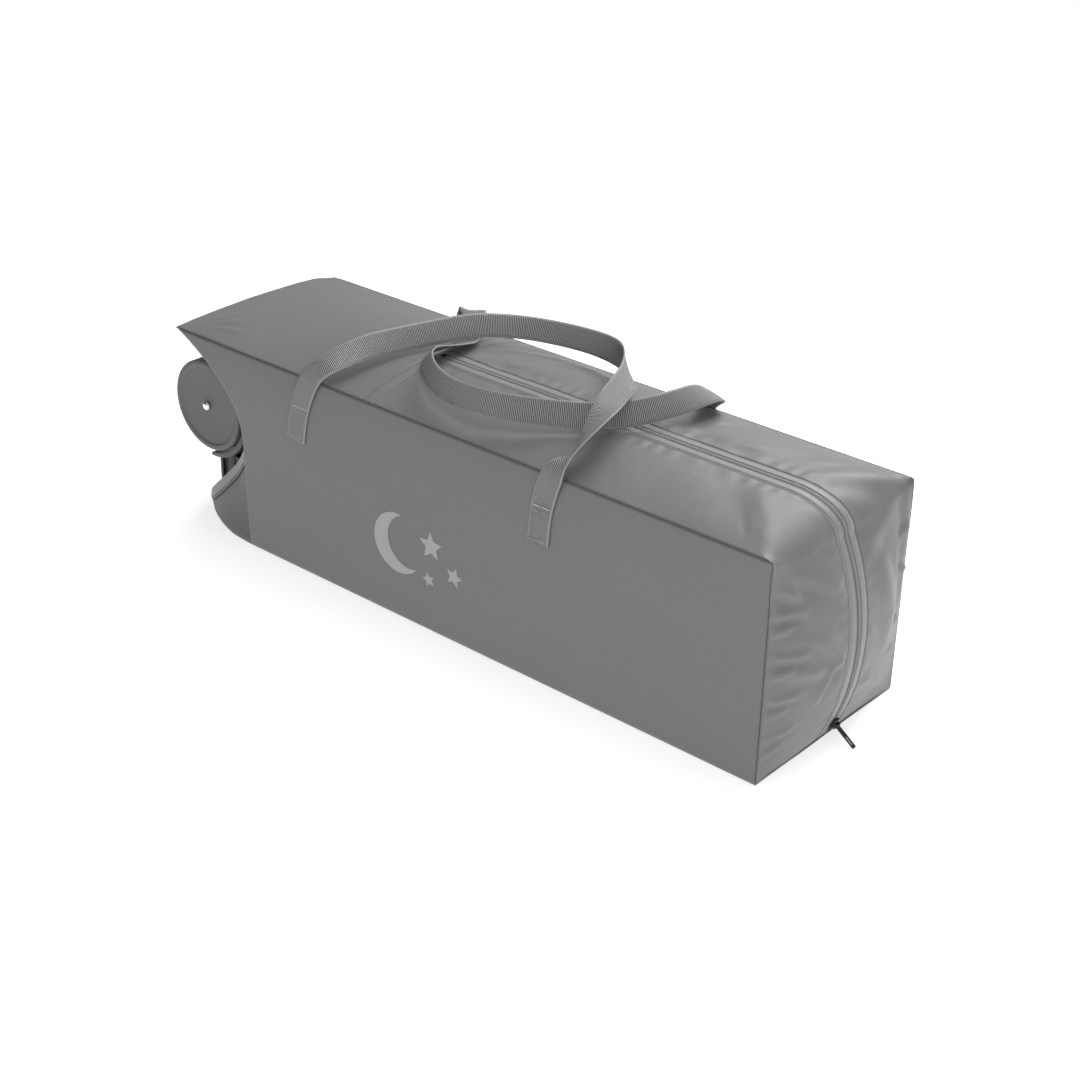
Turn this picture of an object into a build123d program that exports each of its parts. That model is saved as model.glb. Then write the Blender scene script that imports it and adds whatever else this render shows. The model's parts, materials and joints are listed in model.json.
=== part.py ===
from build123d import *
import math
import os

# A folding playpen (travel cot) packed in its zipped carry bag. Millimetres, +Z up.
# X runs along the bag: the zip end at +X, the wheels at -X. The side with the print faces -Y.
# The origin is the middle of the seam box on the floor.

# --- driving dimensions -------------------------------------------------------------------------
BAG_LENGTH = 840          # seam to seam, along X
BAG_WIDTH = 240           # seam to seam, along Y
BAG_HEIGHT = 244          # floor to the top seams
CLOTH = 2.0               # thickness of a bag panel
GAP = 0.3                 # room between separate pieces that only lie next to each other
TOP_CROWN = 16            # how far the top stands above its seams along the middle
TIP_CROWN = 5             # the same at the wheel end
REAR_CROWN = 13           # and halfway to the cross seam
ZIP_END_BULGE = 27        # the zip's path down the end is an arc that stands out this far
ZIP_ARC_FOOT = 3          # height where that arc comes back to the end seams
ZIP_ARC_DROP = 6          # the arc's centre is this far below half the bag's height
SEAM_CORNER = 6           # radius of the gusset's upper corner at the side seams
ZIP_CORNER_X = 62         # length of the rounding of the upper corner along the zip
ZIP_CORNER_Z = 34         # its height

TAPE_HALF = 14            # middle of the zip to the edge of its tape
COIL_WIDTH = 6
COIL_PROUD = 0.8          # how far the coil stands above the tape
CROSS_SEAM_X = -114       # where the zip starts on the top
ZIP_STOP_LENGTH = 5

MOUTH_X = -308            # where the side panels end at the wheel end, near the floor
HEM_RISE = 28.5           # the end flap's hem starts this far above the wheel's lowest point
MOUTH_CURVE = 2.4         # the mouth's edge leans out to the tip by this power of its height
FLAP_END_X = -428         # where the end flaps meet the floor
FLAP_END_Y = 75
HEM_WIDTH = 20
HEM_THICK = 1.2
HEM_LIFT = 16             # height of the hem's lower end

FLAP_START = 4            # crease to the start of the hem band
BOTTOM_EASE = 1.5         # the bottom panel ends this far inside the end seam

WEB_WIDTH = 28            # carry handle webbing
WEB_THICK = 1.6
HANDLE_STEPS = 3          # straight strips between two points of a handle's route

MATTRESS_LENGTH = 660
MATTRESS_THICK = 22
MATTRESS_END_X = 385
LEG_LENGTH = 700
LEG_DIAMETER = 20
TUBE_WALL = 1.2
LEG_SPACING_Y = 124
FRAME_FLOOR_ROOM = 34     # mattress below to the middle of the lower legs
FRAME_TOP_ROOM = 39.4     # middle of the upper legs to the mattress above
LEG_TOP_X = 355
CAP_LENGTH = 40
CAP_SIZE = 44
RAIL_DIAMETER = 16
LONG_RAIL_HALF = 470
SHORT_RAIL_HALF = 300
LATCH_LENGTH = 48
LATCH_WIDTH = 24
BASE_TUBE_LENGTH = 590
BASE_SPACING = 48
HUB_LENGTH = 34
HUB_SIZE = 74
HUB_ROUNDING = 14
HUB_SLOT_DEPTH = 14       # the slot of the hub, with the bar that is pulled
HUB_SLOT_HALF = 20
HUB_SLOT_HEIGHT = 18
HUB_BAR = 6
LATCH_WALL = 3            # latch or clamp round its tubes
CLAMP_LENGTH = 40         # how far the wheel bracket reaches over its leg
CLAMP_WALL = 6
ARM_ROOM = 13             # the bracket's arm round the axle
ARM_CHAMFER = 8
FOOT_NECK = 30            # how far the foot reaches over its leg
FOOT_NECK_WALL = 4
FABRIC_LAYER = 6          # the folded side fabric

WHEEL_DIAMETER = 111
WHEEL_WIDTH = 22
WHEEL_X = -387
WHEEL_TOP_ROOM = 37.5     # top of the wheel to the top seams
WHEEL_FACE_Y = 108        # outer face of a wheel, from the middle plane
TYRE_HEIGHT = 9
AXLE_DIAMETER = 8
AXLE_CLEARANCE = 0.05     # radial, so that the wheel turns freely
AXLE_CAP_DIAMETER = 11
AXLE_CAP_PROUD = 4
FENDER_GAP = 2.5          # tread to the fender
FENDER_END_GAP = 3.5      # and this much more at its free end
FENDER_THICK = 7
FENDER_START = 50         # degrees up from the wheel's middle where the fender starts
FENDER_SWEEP = 142        # degrees that it follows the tread, down to below the wheel
FENDER_STEPS = 20
BRACKET_PLATE = 5
SIDE_PLAY = 0.4           # between a wheel and the parts each side of it
FOOT_ROOM = 19.5          # top of the foot to the wheel's lowest point
FOOT_DEPTH = 32
FOOT_END_X = -418

SLIDER_HEIGHT = 19.5      # where the slider stands when the bag is closed
SLIDER_LENGTH = 13
SLIDER_WIDTH = 9
SLIDER_THICK = 4.5
PULL_LENGTH = 26
PULL_WIDTH = 5
PULL_THICK = 1.6
PULL_PIN = 1.6            # diameter of the slider's pin
PULL_EYE_WALL = 1.1
PULL_SLOT_LENGTH = 10     # the slot in the pull's tongue
PULL_SLOT_WIDTH = 2
PULL_END_ROUNDING = 1.4

# --- derived places ------------------------------------------------------------------------------
END_X = BAG_LENGTH / 2
ZIP_ARC_HEIGHT = BAG_HEIGHT / 2 - ZIP_ARC_DROP
ZIP_END_RADIUS = ((ZIP_ARC_HEIGHT - ZIP_ARC_FOOT) ** 2 + ZIP_END_BULGE**2) / (2 * ZIP_END_BULGE)
SIDE_Y = BAG_WIDTH / 2
INNER_Y = SIDE_Y - CLOTH - GAP
ARC_X = END_X + ZIP_END_BULGE - ZIP_END_RADIUS
FRAME_FLOOR = CLOTH + GAP + MATTRESS_THICK
LEG_SPACING_Z = BAG_HEIGHT - 2 * FRAME_FLOOR - FRAME_FLOOR_ROOM - FRAME_TOP_ROOM
AXIS_Z = FRAME_FLOOR + FRAME_FLOOR_ROOM + LEG_SPACING_Z / 2
WHEEL_Z = BAG_HEIGHT - WHEEL_TOP_ROOM - WHEEL_DIAMETER / 2
WHEEL_LOWEST = WHEEL_Z - WHEEL_DIAMETER / 2
MOUTH_TOP = WHEEL_LOWEST + HEM_RISE
FOOT_HEIGHT = WHEEL_LOWEST - FOOT_ROOM
os.makedirs("parts", exist_ok=True)


def save(node, shape):
    """Write one node."""
    shape.label = node
    export_step(shape, f"parts/{node}.step")


def polygon(points, plane_origin, x_dir, normal):
    """A closed flat face from 2-D points in the plane given."""
    plane = Plane(origin=plane_origin, x_dir=x_dir, z_dir=normal)
    corners = [plane.from_local_coords((u, v, 0)) for u, v in points]
    return make_face(Polyline(*corners, close=True))


def upright_plate(points, y_low, y_high):
    """A plate with its outline given in X and Z, between two values of Y."""
    face = polygon(points, (0, y_high, 0), (1, 0, 0), (0, -1, 0))
    return extrude(face, amount=y_high - y_low, dir=(0, -1, 0))


def block(x_low, x_high, y_low, y_high, z_low, z_high):
    """A plain box between six planes."""
    size = (x_high - x_low, y_high - y_low, z_high - z_low)
    middle = ((x_low + x_high) / 2, (y_low + y_high) / 2, (z_low + z_high) / 2)
    return Pos(*middle) * Box(*size)


def rounded_block(x_low, x_high, y_low, y_high, z_low, z_high, radius):
    """A box with its four edges along X rounded."""
    shape = block(x_low, x_high, y_low, y_high, z_low, z_high)
    return fillet(shape.edges().filter_by(Axis.X), radius)


def tube_x(diameter, wall, x_low, x_high, y, z):
    """A round tube along X."""
    ring = Circle(diameter / 2) - Circle(diameter / 2 - wall)
    return Pos(x_low, y, z) * Rot(0, 90, 0) * extrude(ring, amount=x_high - x_low)


def disc_y(radius, y_low, y_high, x, z):
    """A round disc or pin along Y."""
    turned = Pos(x, (y_low + y_high) / 2, z) * Rot(90, 0, 0)
    return turned * Cylinder(radius, abs(y_high - y_low))


# --- the bag ---------------------------------------------------------------------------------------
def crown_share(y):
    """1 on the middle plane, 0 at the side seams."""
    return 1 - (y / SIDE_Y) ** 2


def end_x(z, share):
    """How far out the zip end stands at a height."""
    arc = ARC_X + math.sqrt(ZIP_END_RADIUS**2 - (z - ZIP_ARC_HEIGHT) ** 2)
    return END_X + share * (arc - END_X)


def gusset_profile(y, inset):
    """X and Z of the top-and-end strip at one Y, from the cross seam to the floor."""
    share = crown_share(y)
    top = BAG_HEIGHT + TOP_CROWN * share
    corner_x = SEAM_CORNER + share * (ZIP_CORNER_X - SEAM_CORNER)
    corner_z = SEAM_CORNER + share * (ZIP_CORNER_Z - SEAM_CORNER)
    corner_base = top - corner_z
    outer_x = end_x(corner_base, share)
    points = [(CROSS_SEAM_X, top - inset), (END_X / 2, top - inset)]
    for step in range(5):
        angle = math.radians(90 - 90 * step / 4)
        x = outer_x - corner_x + (corner_x - inset) * math.cos(angle)
        z = corner_base + (corner_z - inset) * math.sin(angle)
        points.append((x, z))
    for step in range(1, 8):
        z = corner_base + (CLOTH + GAP - corner_base) * step / 7
        points.append((end_x(z, share) - inset, z))
    return points


def gusset_strip(stations, outer=0.0, inner=CLOTH):
    """A strip of the top and the zip end between two or more values of Y."""
    sections = []
    for y in stations:
        ring = gusset_profile(y, outer) + gusset_profile(y, inner)[::-1]
        sections.append(polygon(ring, (0, y, 0), (1, 0, 0), (0, -1, 0)))
    return loft(sections, ruled=True)


def mirrored(shape):
    """The same piece on the other side of the middle plane."""
    return mirror(shape, about=Plane.XZ)


def side_panel():
    """The front side panel: its mouth edge curves in from the tip to the crease."""
    top = BAG_HEIGHT - CLOTH - GAP
    right = END_X - CLOTH - GAP
    rounding = SEAM_CORNER - CLOTH
    points = [(MOUTH_X, 0), (END_X, 0), (END_X, CLOTH), (right, CLOTH), (right, top - rounding)]
    for step in range(1, 4):
        angle = math.radians(30 * step)
        points.append((right - rounding * (1 - math.cos(angle)), top - rounding * (1 - math.sin(angle))))
    for step in range(9):
        rise = 1 - step / 8
        x = MOUTH_X - (END_X + MOUTH_X) * rise**MOUTH_CURVE
        points.append((x, MOUTH_TOP * (1 - rise) + top * rise))
    return upright_plate(points, -SIDE_Y, -SIDE_Y + CLOTH)


def bottom_panel():
    """The floor of the bag, narrower past the crease."""
    y = SIDE_Y - CLOTH - GAP
    inner_end = FLAP_END_Y - CLOTH - GAP
    right = END_X - BOTTOM_EASE
    points = [(MOUTH_X + GAP, -y), (right, -y), (right, y), (MOUTH_X + GAP, y)]
    points += [(FLAP_END_X, inner_end), (FLAP_END_X, -inner_end)]
    return extrude(make_face(Polyline(*points, close=True)), amount=CLOTH)


def top_rear_panel():
    """The part of the top behind the cross seam: one curved sheet, flatter towards the wheels."""
    sections = []
    middle = (-END_X + CROSS_SEAM_X - GAP) / 2
    for x, crown in ((-END_X, TIP_CROWN), (middle, REAR_CROWN), (CROSS_SEAM_X - GAP, TOP_CROWN)):
        upper = []
        for step in range(9):
            y = -SIDE_Y + BAG_WIDTH * step / 8
            upper.append((y, BAG_HEIGHT + crown * crown_share(y)))
        lower = [(y, z - CLOTH) for y, z in reversed(upper)]
        sections.append(polygon(upper + lower, (x, 0, 0), (0, 1, 0), (1, 0, 0)))
    return loft(sections, ruled=True)


def flap_plane():
    """The upright plane of the front end flap, its X along the floor from the crease outwards."""
    along = Vector(FLAP_END_X - MOUTH_X, SIDE_Y - FLAP_END_Y, 0).normalized()
    start = (MOUTH_X - GAP - HEM_THICK, -SIDE_Y, 0)
    return Plane(origin=start, x_dir=along, z_dir=along.cross(Vector(0, 0, 1)))


def flap_length():
    """Length of the flap along the floor."""
    return math.hypot(FLAP_END_X - MOUTH_X, SIDE_Y - FLAP_END_Y) - GAP


def flap_piece(points, near, far):
    """A plate in the flap's plane, between two depths measured into the bag."""
    plane = flap_plane()
    corners = [plane.from_local_coords((u, v, near)) for u, v in points]
    face = make_face(Polyline(*corners, close=True))
    return extrude(face, amount=far - near, dir=plane.z_dir)


def hem_drop(u):
    """Height of the flap's sloping edge at a distance along the floor."""
    return MOUTH_TOP + (HEM_LIFT - MOUTH_TOP) * u / flap_length()


def end_flap():
    """The triangular flap at the wheel end, cut off below its hem."""
    length = flap_length()
    low = CLOTH + GAP
    points = [(0, low), (length, low), (length, HEM_LIFT), (0, MOUTH_TOP)]
    return flap_piece(points, 0, CLOTH)


def hem_band():
    """The folded hem, sewn on the outside of the flap's sloping edge."""
    length = flap_length()
    start = FLAP_START
    points = [(start, hem_drop(start) - HEM_WIDTH), (length, hem_drop(length) - HEM_WIDTH / 2)]
    points += [(length, hem_drop(length)), (start, hem_drop(start))]
    return flap_piece(points, -HEM_THICK, 0)


# --- the zip ---------------------------------------------------------------------------------------
def zip_tape():
    """The front half of the tape, from the coil to its sewn edge."""
    return gusset_strip((-TAPE_HALF, -COIL_WIDTH / 2))


def zip_coil():
    """Both rows of the coil, closed, as one strip that stands a little above the tape."""
    return gusset_strip((-COIL_WIDTH / 2, COIL_WIDTH / 2), outer=-COIL_PROUD)


def zip_start_stop():
    """The metal stop where the zip starts at the cross seam."""
    top = BAG_HEIGHT + TOP_CROWN + COIL_PROUD + GAP
    x = CROSS_SEAM_X + ZIP_STOP_LENGTH
    return block(x, x + ZIP_STOP_LENGTH, -COIL_WIDTH / 2, COIL_WIDTH / 2, top, top + 1.2)


def arc_place(angle, radius):
    """X and Z on the zip's end arc, the angle measured up from its middle."""
    turn = math.radians(angle)
    return ARC_X + radius * math.cos(turn), ZIP_ARC_HEIGHT + radius * math.sin(turn)


SLIDER_RADIUS = ZIP_END_RADIUS + COIL_PROUD + GAP
SLIDER_ANGLE = math.degrees(math.asin((SLIDER_HEIGHT - ZIP_ARC_HEIGHT) / SLIDER_RADIUS))
EYE_RADIUS = PULL_PIN / 2 + PULL_EYE_WALL
PIN_HEIGHT = SLIDER_THICK / 2 + EYE_RADIUS + GAP


def on_arc(shape, angle=SLIDER_ANGLE, radius=SLIDER_RADIUS):
    """Stand a shape on the end arc: its +X points away from the bag, its +Z up the zip."""
    x, z = arc_place(angle, radius)
    return Pos(x, 0, z) * Rot(0, -angle, 0) * shape


def zip_end_stop():
    """The metal stop at the floor end of the zip."""
    size = (1.2, COIL_WIDTH, ZIP_STOP_LENGTH)
    return on_arc(Pos(0.6, 0, -SLIDER_LENGTH / 2 - ZIP_STOP_LENGTH / 2 - 0.5) * Box(*size))


def zip_slider():
    """The slider's upper wing with its bridge, which holds the pull's pin."""
    wing = Pos(SLIDER_THICK / 4, 0, 0) * Box(SLIDER_THICK / 2, SLIDER_WIDTH, SLIDER_LENGTH)
    wing = chamfer(wing.edges().filter_by(Axis.X), 2)
    for side in (-1, 1):
        ear = Pos(PIN_HEIGHT / 2 + 0.8, side * (PULL_WIDTH / 2 + GAP + 0.6), -1)
        wing += ear * Box(PIN_HEIGHT, 1.2, 5)
    pin = Pos(PIN_HEIGHT, 0, -1) * Rot(90, 0, 0)
    wing += pin * Cylinder(PULL_PIN / 2, PULL_WIDTH + 2 * GAP + 1.2)
    return on_arc(wing)


def pull_pivot():
    """X and Z of the pin that the pull swings on."""
    local = on_arc(Pos(PIN_HEIGHT, 0, -1) * Box(1, 1, 1))
    middle = local.center()
    return middle.X, middle.Z


def zip_pull():
    """The pull: an eye round the slider's pin, and a flat tongue that leans out to the floor."""
    x, z = pull_pivot()
    eye = Cylinder(EYE_RADIUS, PULL_WIDTH) - Cylinder(PULL_PIN / 2 + AXLE_CLEARANCE, PULL_WIDTH)
    lean = math.degrees(math.atan2(z - PULL_THICK, math.sqrt(PULL_LENGTH**2 - (z - PULL_THICK) ** 2)))
    tongue = Pos(PULL_LENGTH / 2 + PULL_PIN / 2 + 0.6, 0, 0) * Box(PULL_LENGTH, PULL_WIDTH, PULL_THICK)
    tongue = fillet(tongue.edges().filter_by(Axis.Z).group_by(Axis.X)[-1], PULL_END_ROUNDING)
    slot = Pos(PULL_LENGTH * 0.72, 0, 0) * Box(PULL_SLOT_LENGTH, PULL_SLOT_WIDTH, PULL_THICK * 2)
    tongue = tongue - fillet(slot.edges().filter_by(Axis.Z), PULL_SLOT_WIDTH * 0.45)
    return Pos(x, 0, z) * Rot(0, lean, 0) * (Rot(90, 0, 0) * eye + tongue)


# --- the carry handles -----------------------------------------------------------------------------
# Each point of a loop: the middle of the webbing, its height measured from the top seams, then the
# direction across it, towards the edge that stands up. Both loops start and end just above the seams.
FRONT_LOOP = [
    ((-190, -123.2, 3.5), (-1, 0, 0)), ((-172, -113, 22), (-0.9, 0.2, 0.4)),
    ((-158, -70, 33), (-0.6, 0.3, 0.75)), ((-146, -30, 34), (-0.5, 0.25, 0.83)),
    ((-131, 10, 35), (-0.45, 0.3, 0.85)), ((-108, 55, 37), (-0.45, 0.4, 0.8)),
    ((-76, 94, 32), (-0.4, 0.5, 0.77)), ((-38, 116, 28), (-0.3, 0.55, 0.78)),
    ((4, 122, 28), (-0.1, 0.6, 0.8)), ((45, 112, 31), (-0.05, 0.35, 0.93)),
    ((82, 85, 36), (-0.2, -0.1, 0.97)), ((112, 50, 42), (-0.45, -0.35, 0.82)),
    ((140, 8, 54), (-0.75, -0.3, 0.5)), ((160, -38, 56), (-0.9, 0.0, 0.35)),
    ((172, -80, 44), (-0.9, 0.3, 0.15)), ((172, -110, 24), (-0.95, 0.15, -0.1)),
    ((158, -123.2, 3.5), (-1, 0, 0)),
]
BACK_LOOP = [
    ((-190, 123.2, 3.5), (1, 0, 0)), ((-168, 113, 22), (0.95, 0.2, 0.2)),
    ((-139, 84, 26), (0.8, 0.55, 0.15)), ((-114, 47, 20), (0.8, 0.55, 0.05)),
    ((-103, 14, 25), (0.85, 0.1, 0.35)), ((-104, -16, 29), (0.8, -0.2, 0.55)),
    ((-88, -46, 31), (0.6, -0.1, 0.75)), ((-54, -73, 31), (0.3, 0.2, 0.9)),
    ((-15, -88, 31), (-0.1, 0.25, 0.95)), ((25, -90, 32), (-0.2, 0.35, 0.9)),
    ((60, -81, 32), (-0.25, 0.35, 0.9)), ((95, -64, 32), (-0.3, 0.35, 0.88)),
    ((126, -43, 31), (-0.4, 0.4, 0.8)), ((152, -18, 31), (-0.4, 0.3, 0.85)),
    ((172, 8, 34), (-0.45, 0.2, 0.86)), ((186, 40, 37), (-0.6, 0.1, 0.78)),
    ((192, 75, 37), (-0.85, -0.1, 0.5)), ((185, 106, 24), (-0.95, 0.05, 0.15)),
    ((158, 123.2, 3.5), (-1, 0, 0)),
]
FRONT_ENDS = [((-215, -76), (-209, -32), (-193, -3)), ((143, -77), (144, -39), (156, -3))]
BACK_ENDS = [((-205, -76), (-200, -36), (-192, -3)), ((150, -76), (152, -36), (156, -3))]


def smooth_between(before, start, end, after, share):
    """A point of a smooth curve through the two middle points."""
    square = share * share
    cube = square * share
    return (
        before * (-0.5 * share + square - 0.5 * cube)
        + start * (1 - 2.5 * square + 1.5 * cube)
        + end * (0.5 * share + 2 * square - 1.5 * cube)
        + after * (-0.5 * square + 0.5 * cube)
    )


def smooth_route(route):
    """The loop's middles and cross directions, with points added along smooth curves."""
    places = [Vector(*place) + Vector(0, 0, BAG_HEIGHT) for place, across in route]
    widths = [Vector(*across).normalized() for place, across in route]
    result = []
    last = len(route) - 1
    for index in range(last):
        near = [max(index - 1, 0), index, index + 1, min(index + 2, last)]
        for step in range(HANDLE_STEPS):
            share = step / HANDLE_STEPS
            place = smooth_between(*[places[i] for i in near], share)
            across = smooth_between(*[widths[i] for i in near], share)
            result.append((place, across.normalized()))
    result.append((places[-1], widths[-1]))
    return result


def webbing(route):
    """A flat band of webbing along a route. Its two ends stay parallel to the first direction given."""
    sections = []
    last = len(route) - 1
    for index, (place, across) in enumerate(route):
        along = (route[min(index + 1, last)][0] - route[max(index - 1, 0)][0]).normalized()
        square = min(1, index / HANDLE_STEPS, (last - index) / HANDLE_STEPS)
        across = (across - along * (across.dot(along) * square)).normalized()
        through = along.cross(across)
        half = across * (WEB_WIDTH / 2)
        rise = through * (WEB_THICK / 2)
        corners = [place + half + rise, place - half + rise, place - half - rise, place + half - rise]
        sections.append(make_face(Polyline(*corners, close=True)))
    return loft(sections, ruled=True)


def handle_end(places, side):
    """The sewn-down end of a handle: it lies on the side panel, up to the top seam."""
    y = side * (SIDE_Y + GAP / 3 + WEB_THICK / 2)
    route = [(Vector(x, y, BAG_HEIGHT + z), Vector(-1, 0, 0)) for x, z in places]
    return webbing(route)


# --- the folded frame ------------------------------------------------------------------------------
LEG_PLACES = {
    "front_low": (-LEG_SPACING_Y / 2, AXIS_Z - LEG_SPACING_Z / 2),
    "front_high": (-LEG_SPACING_Y / 2, AXIS_Z + LEG_SPACING_Z / 2),
    "back_low": (LEG_SPACING_Y / 2, AXIS_Z - LEG_SPACING_Z / 2),
    "back_high": (LEG_SPACING_Y / 2, AXIS_Z + LEG_SPACING_Z / 2),
}
CAP_OVERLAP = 12          # how far a corner cap reaches over its leg
RAIL_INSET = 25           # folded rails lie this far inside the legs


def corner_cap(y, z):
    """The moulded cap on the upper end of a leg, with a blind socket for the leg."""
    half = CAP_SIZE / 2
    low = LEG_TOP_X - CAP_OVERLAP
    cap = rounded_block(low, low + CAP_LENGTH, y - half, y + half, z - half, z + half, 8)
    cap = fillet(cap.faces().sort_by(Axis.X)[-1].edges(), 5)
    socket = Pos(low, y, z) * Rot(0, 90, 0) * Cylinder(
        LEG_DIAMETER / 2, CAP_OVERLAP, align=(Align.CENTER, Align.CENTER, Align.MIN)
    )
    return cap - socket


def folded_rail(half_length, places, latch_low, latch_high):
    """Two half rails side by side, joined by the folded latch at their far end."""
    near = LEG_TOP_X - CAP_OVERLAP - GAP
    far = near - half_length
    tubes = [tube_x(RAIL_DIAMETER, TUBE_WALL, far, near, y, z) for y, z in places]
    latch = rounded_block(
        far - LATCH_LENGTH - GAP, far - GAP, latch_low[0], latch_high[0], latch_low[1], latch_high[1], 5
    )
    return Compound(children=[tube for tube in tubes]), latch


def long_rail(side):
    """The long top rail of one side, folded between its two legs."""
    y = side * LEG_SPACING_Y / 2
    z_low = AXIS_Z - LEG_SPACING_Z / 2 + RAIL_INSET
    z_high = AXIS_Z + LEG_SPACING_Z / 2 - RAIL_INSET
    half = RAIL_DIAMETER / 2 + LATCH_WALL
    return folded_rail(
        LONG_RAIL_HALF,
        [(y, z_low), (y, z_high)],
        (y - LATCH_WIDTH / 2, z_low - half),
        (y + LATCH_WIDTH / 2, z_high + half),
    )


def short_rail(side):
    """The short top rail of one end, folded between its two legs."""
    z = AXIS_Z + side * LEG_SPACING_Z / 2
    y = LEG_SPACING_Y / 2 - RAIL_INSET
    half = RAIL_DIAMETER / 2 + LATCH_WALL
    return folded_rail(
        SHORT_RAIL_HALF,
        [(-y, z), (y, z)],
        (-y - half, z - LATCH_WIDTH / 2),
        (y + half, z + LATCH_WIDTH / 2),
    )


def base_tubes():
    """The four tubes of the base, folded up to the hub."""
    low = LEG_TOP_X - LEG_LENGTH
    tubes = []
    for side_y in (-1, 1):
        for side_z in (-1, 1):
            y = side_y * BASE_SPACING / 2
            z = AXIS_Z + side_z * BASE_SPACING / 2
            tubes.append(tube_x(RAIL_DIAMETER, TUBE_WALL, low, low + BASE_TUBE_LENGTH, y, z))
    return Compound(children=tubes)


def centre_hub():
    """The hub of the base, with the ring that is pulled to fold the frame."""
    low = LEG_TOP_X - LEG_LENGTH + BASE_TUBE_LENGTH + GAP
    half = HUB_SIZE / 2
    high = low + HUB_LENGTH
    hub = rounded_block(low, high, -half, half, AXIS_Z - half, AXIS_Z + half, HUB_ROUNDING)
    slot_half = HUB_SLOT_HEIGHT / 2
    slot_low = high - HUB_SLOT_DEPTH
    slot = block(slot_low, high + 1, -HUB_SLOT_HALF, HUB_SLOT_HALF, AXIS_Z - slot_half, AXIS_Z + slot_half)
    bar_low = slot_low + HUB_BAR
    bar_half = HUB_BAR / 2
    reach = HUB_SLOT_HALF + 2
    bar = block(bar_low, bar_low + HUB_BAR, -reach, reach, AXIS_Z - bar_half, AXIS_Z + bar_half)
    return hub - slot + bar


def mattress_panels():
    """The four stiff panels of the mattress, wrapped round the folded frame."""
    low_x = MATTRESS_END_X - MATTRESS_LENGTH
    floor = CLOTH + GAP
    ceiling = BAG_HEIGHT - CLOTH - GAP
    side = INNER_Y - MATTRESS_THICK
    spans = {
        "mattress_panel_bottom": (-side + GAP, side - GAP, floor, floor + MATTRESS_THICK),
        "mattress_panel_top": (-side + GAP, side - GAP, ceiling - MATTRESS_THICK, ceiling),
        "mattress_panel_front": (-INNER_Y, -side, floor, ceiling),
        "mattress_panel_back": (side, INNER_Y, floor, ceiling),
    }
    return {name: rounded_block(low_x, MATTRESS_END_X, *span, 6) for name, span in spans.items()}


def side_fabric():
    """The frame's mesh and fabric sides, folded flat inside the mattress."""
    layer = FABRIC_LAYER
    floor = CLOTH + 2 * GAP + MATTRESS_THICK
    ceiling = BAG_HEIGHT - CLOTH - 2 * GAP - MATTRESS_THICK
    side = INNER_Y - MATTRESS_THICK - GAP
    low_x = MATTRESS_END_X - MATTRESS_LENGTH + 20
    high_x = LEG_TOP_X - CAP_OVERLAP - 4
    parts = [
        block(low_x, high_x, -side, side, floor, floor + layer),
        block(low_x, high_x, -side, side, ceiling - layer, ceiling),
        block(low_x, high_x, -side, -side + layer, floor + layer + 1, ceiling - layer - 1),
        block(low_x, high_x, side - layer, side, floor + layer + 1, ceiling - layer - 1),
    ]
    return Compound(children=parts)


# --- wheels and feet -------------------------------------------------------------------------------
def wheel_disc():
    """The moulded disc: a rim, a sunken ring and a raised flat centre, bored for the axle."""
    y = -WHEEL_FACE_Y
    rim = WHEEL_DIAMETER / 2 - TYRE_HEIGHT
    disc = disc_y(rim, y, y + WHEEL_WIDTH, WHEEL_X, WHEEL_Z)
    ring = disc_y(rim - 2, y - 1, y + 2.2, WHEEL_X, WHEEL_Z) - disc_y(
        rim - 6, y - 1, y + 2.2, WHEEL_X, WHEEL_Z
    )
    bore = disc_y(AXLE_DIAMETER / 2 + AXLE_CLEARANCE, y - 1, y + WHEEL_WIDTH + 1, WHEEL_X, WHEEL_Z)
    return disc - ring - bore


def wheel_tyre():
    """The tread ring on the disc, with rounded edges."""
    y = -WHEEL_FACE_Y
    outer = disc_y(WHEEL_DIAMETER / 2, y, y + WHEEL_WIDTH, WHEEL_X, WHEEL_Z)
    outer = fillet(outer.edges().filter_by(GeomType.CIRCLE), 3)
    return outer - disc_y(WHEEL_DIAMETER / 2 - TYRE_HEIGHT, y - 1, y + WHEEL_WIDTH + 1, WHEEL_X, WHEEL_Z)


def plate_y():
    """Outer and inner Y of the bracket's plate, behind the wheel."""
    outer = -WHEEL_FACE_Y + WHEEL_WIDTH + SIDE_PLAY
    return outer, outer + BRACKET_PLATE


def wheel_axle():
    """The steel pin, fixed in the bracket."""
    return disc_y(AXLE_DIAMETER / 2, -WHEEL_FACE_Y - SIDE_PLAY, plate_y()[1], WHEEL_X, WHEEL_Z)


def axle_cap():
    """The domed cap on the axle's outer end."""
    y = -WHEEL_FACE_Y - SIDE_PLAY
    cap = disc_y(AXLE_CAP_DIAMETER / 2, y - AXLE_CAP_PROUD, y, WHEEL_X, WHEEL_Z)
    outer_edge = cap.edges().filter_by(GeomType.CIRCLE).sort_by(Axis.Y)[0]
    return fillet(outer_edge, AXLE_CAP_PROUD * 0.8)


def fender_outline():
    """X and Z of the fender: it hugs the tread down to below the wheel and thins out to its free end."""
    inner = []
    outer = []
    for step in range(FENDER_STEPS + 1):
        share = step / FENDER_STEPS
        angle = math.radians(FENDER_START - FENDER_SWEEP * share)
        radius = WHEEL_DIAMETER / 2 + FENDER_GAP + FENDER_END_GAP * share**6
        reach = radius + FENDER_THICK * (1 - 0.5 * share**8)
        inner.append((WHEEL_X + radius * math.cos(angle), WHEEL_Z + radius * math.sin(angle)))
        outer.append((WHEEL_X + reach * math.cos(angle), WHEEL_Z + reach * math.sin(angle)))
    return inner + outer[::-1]


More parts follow.
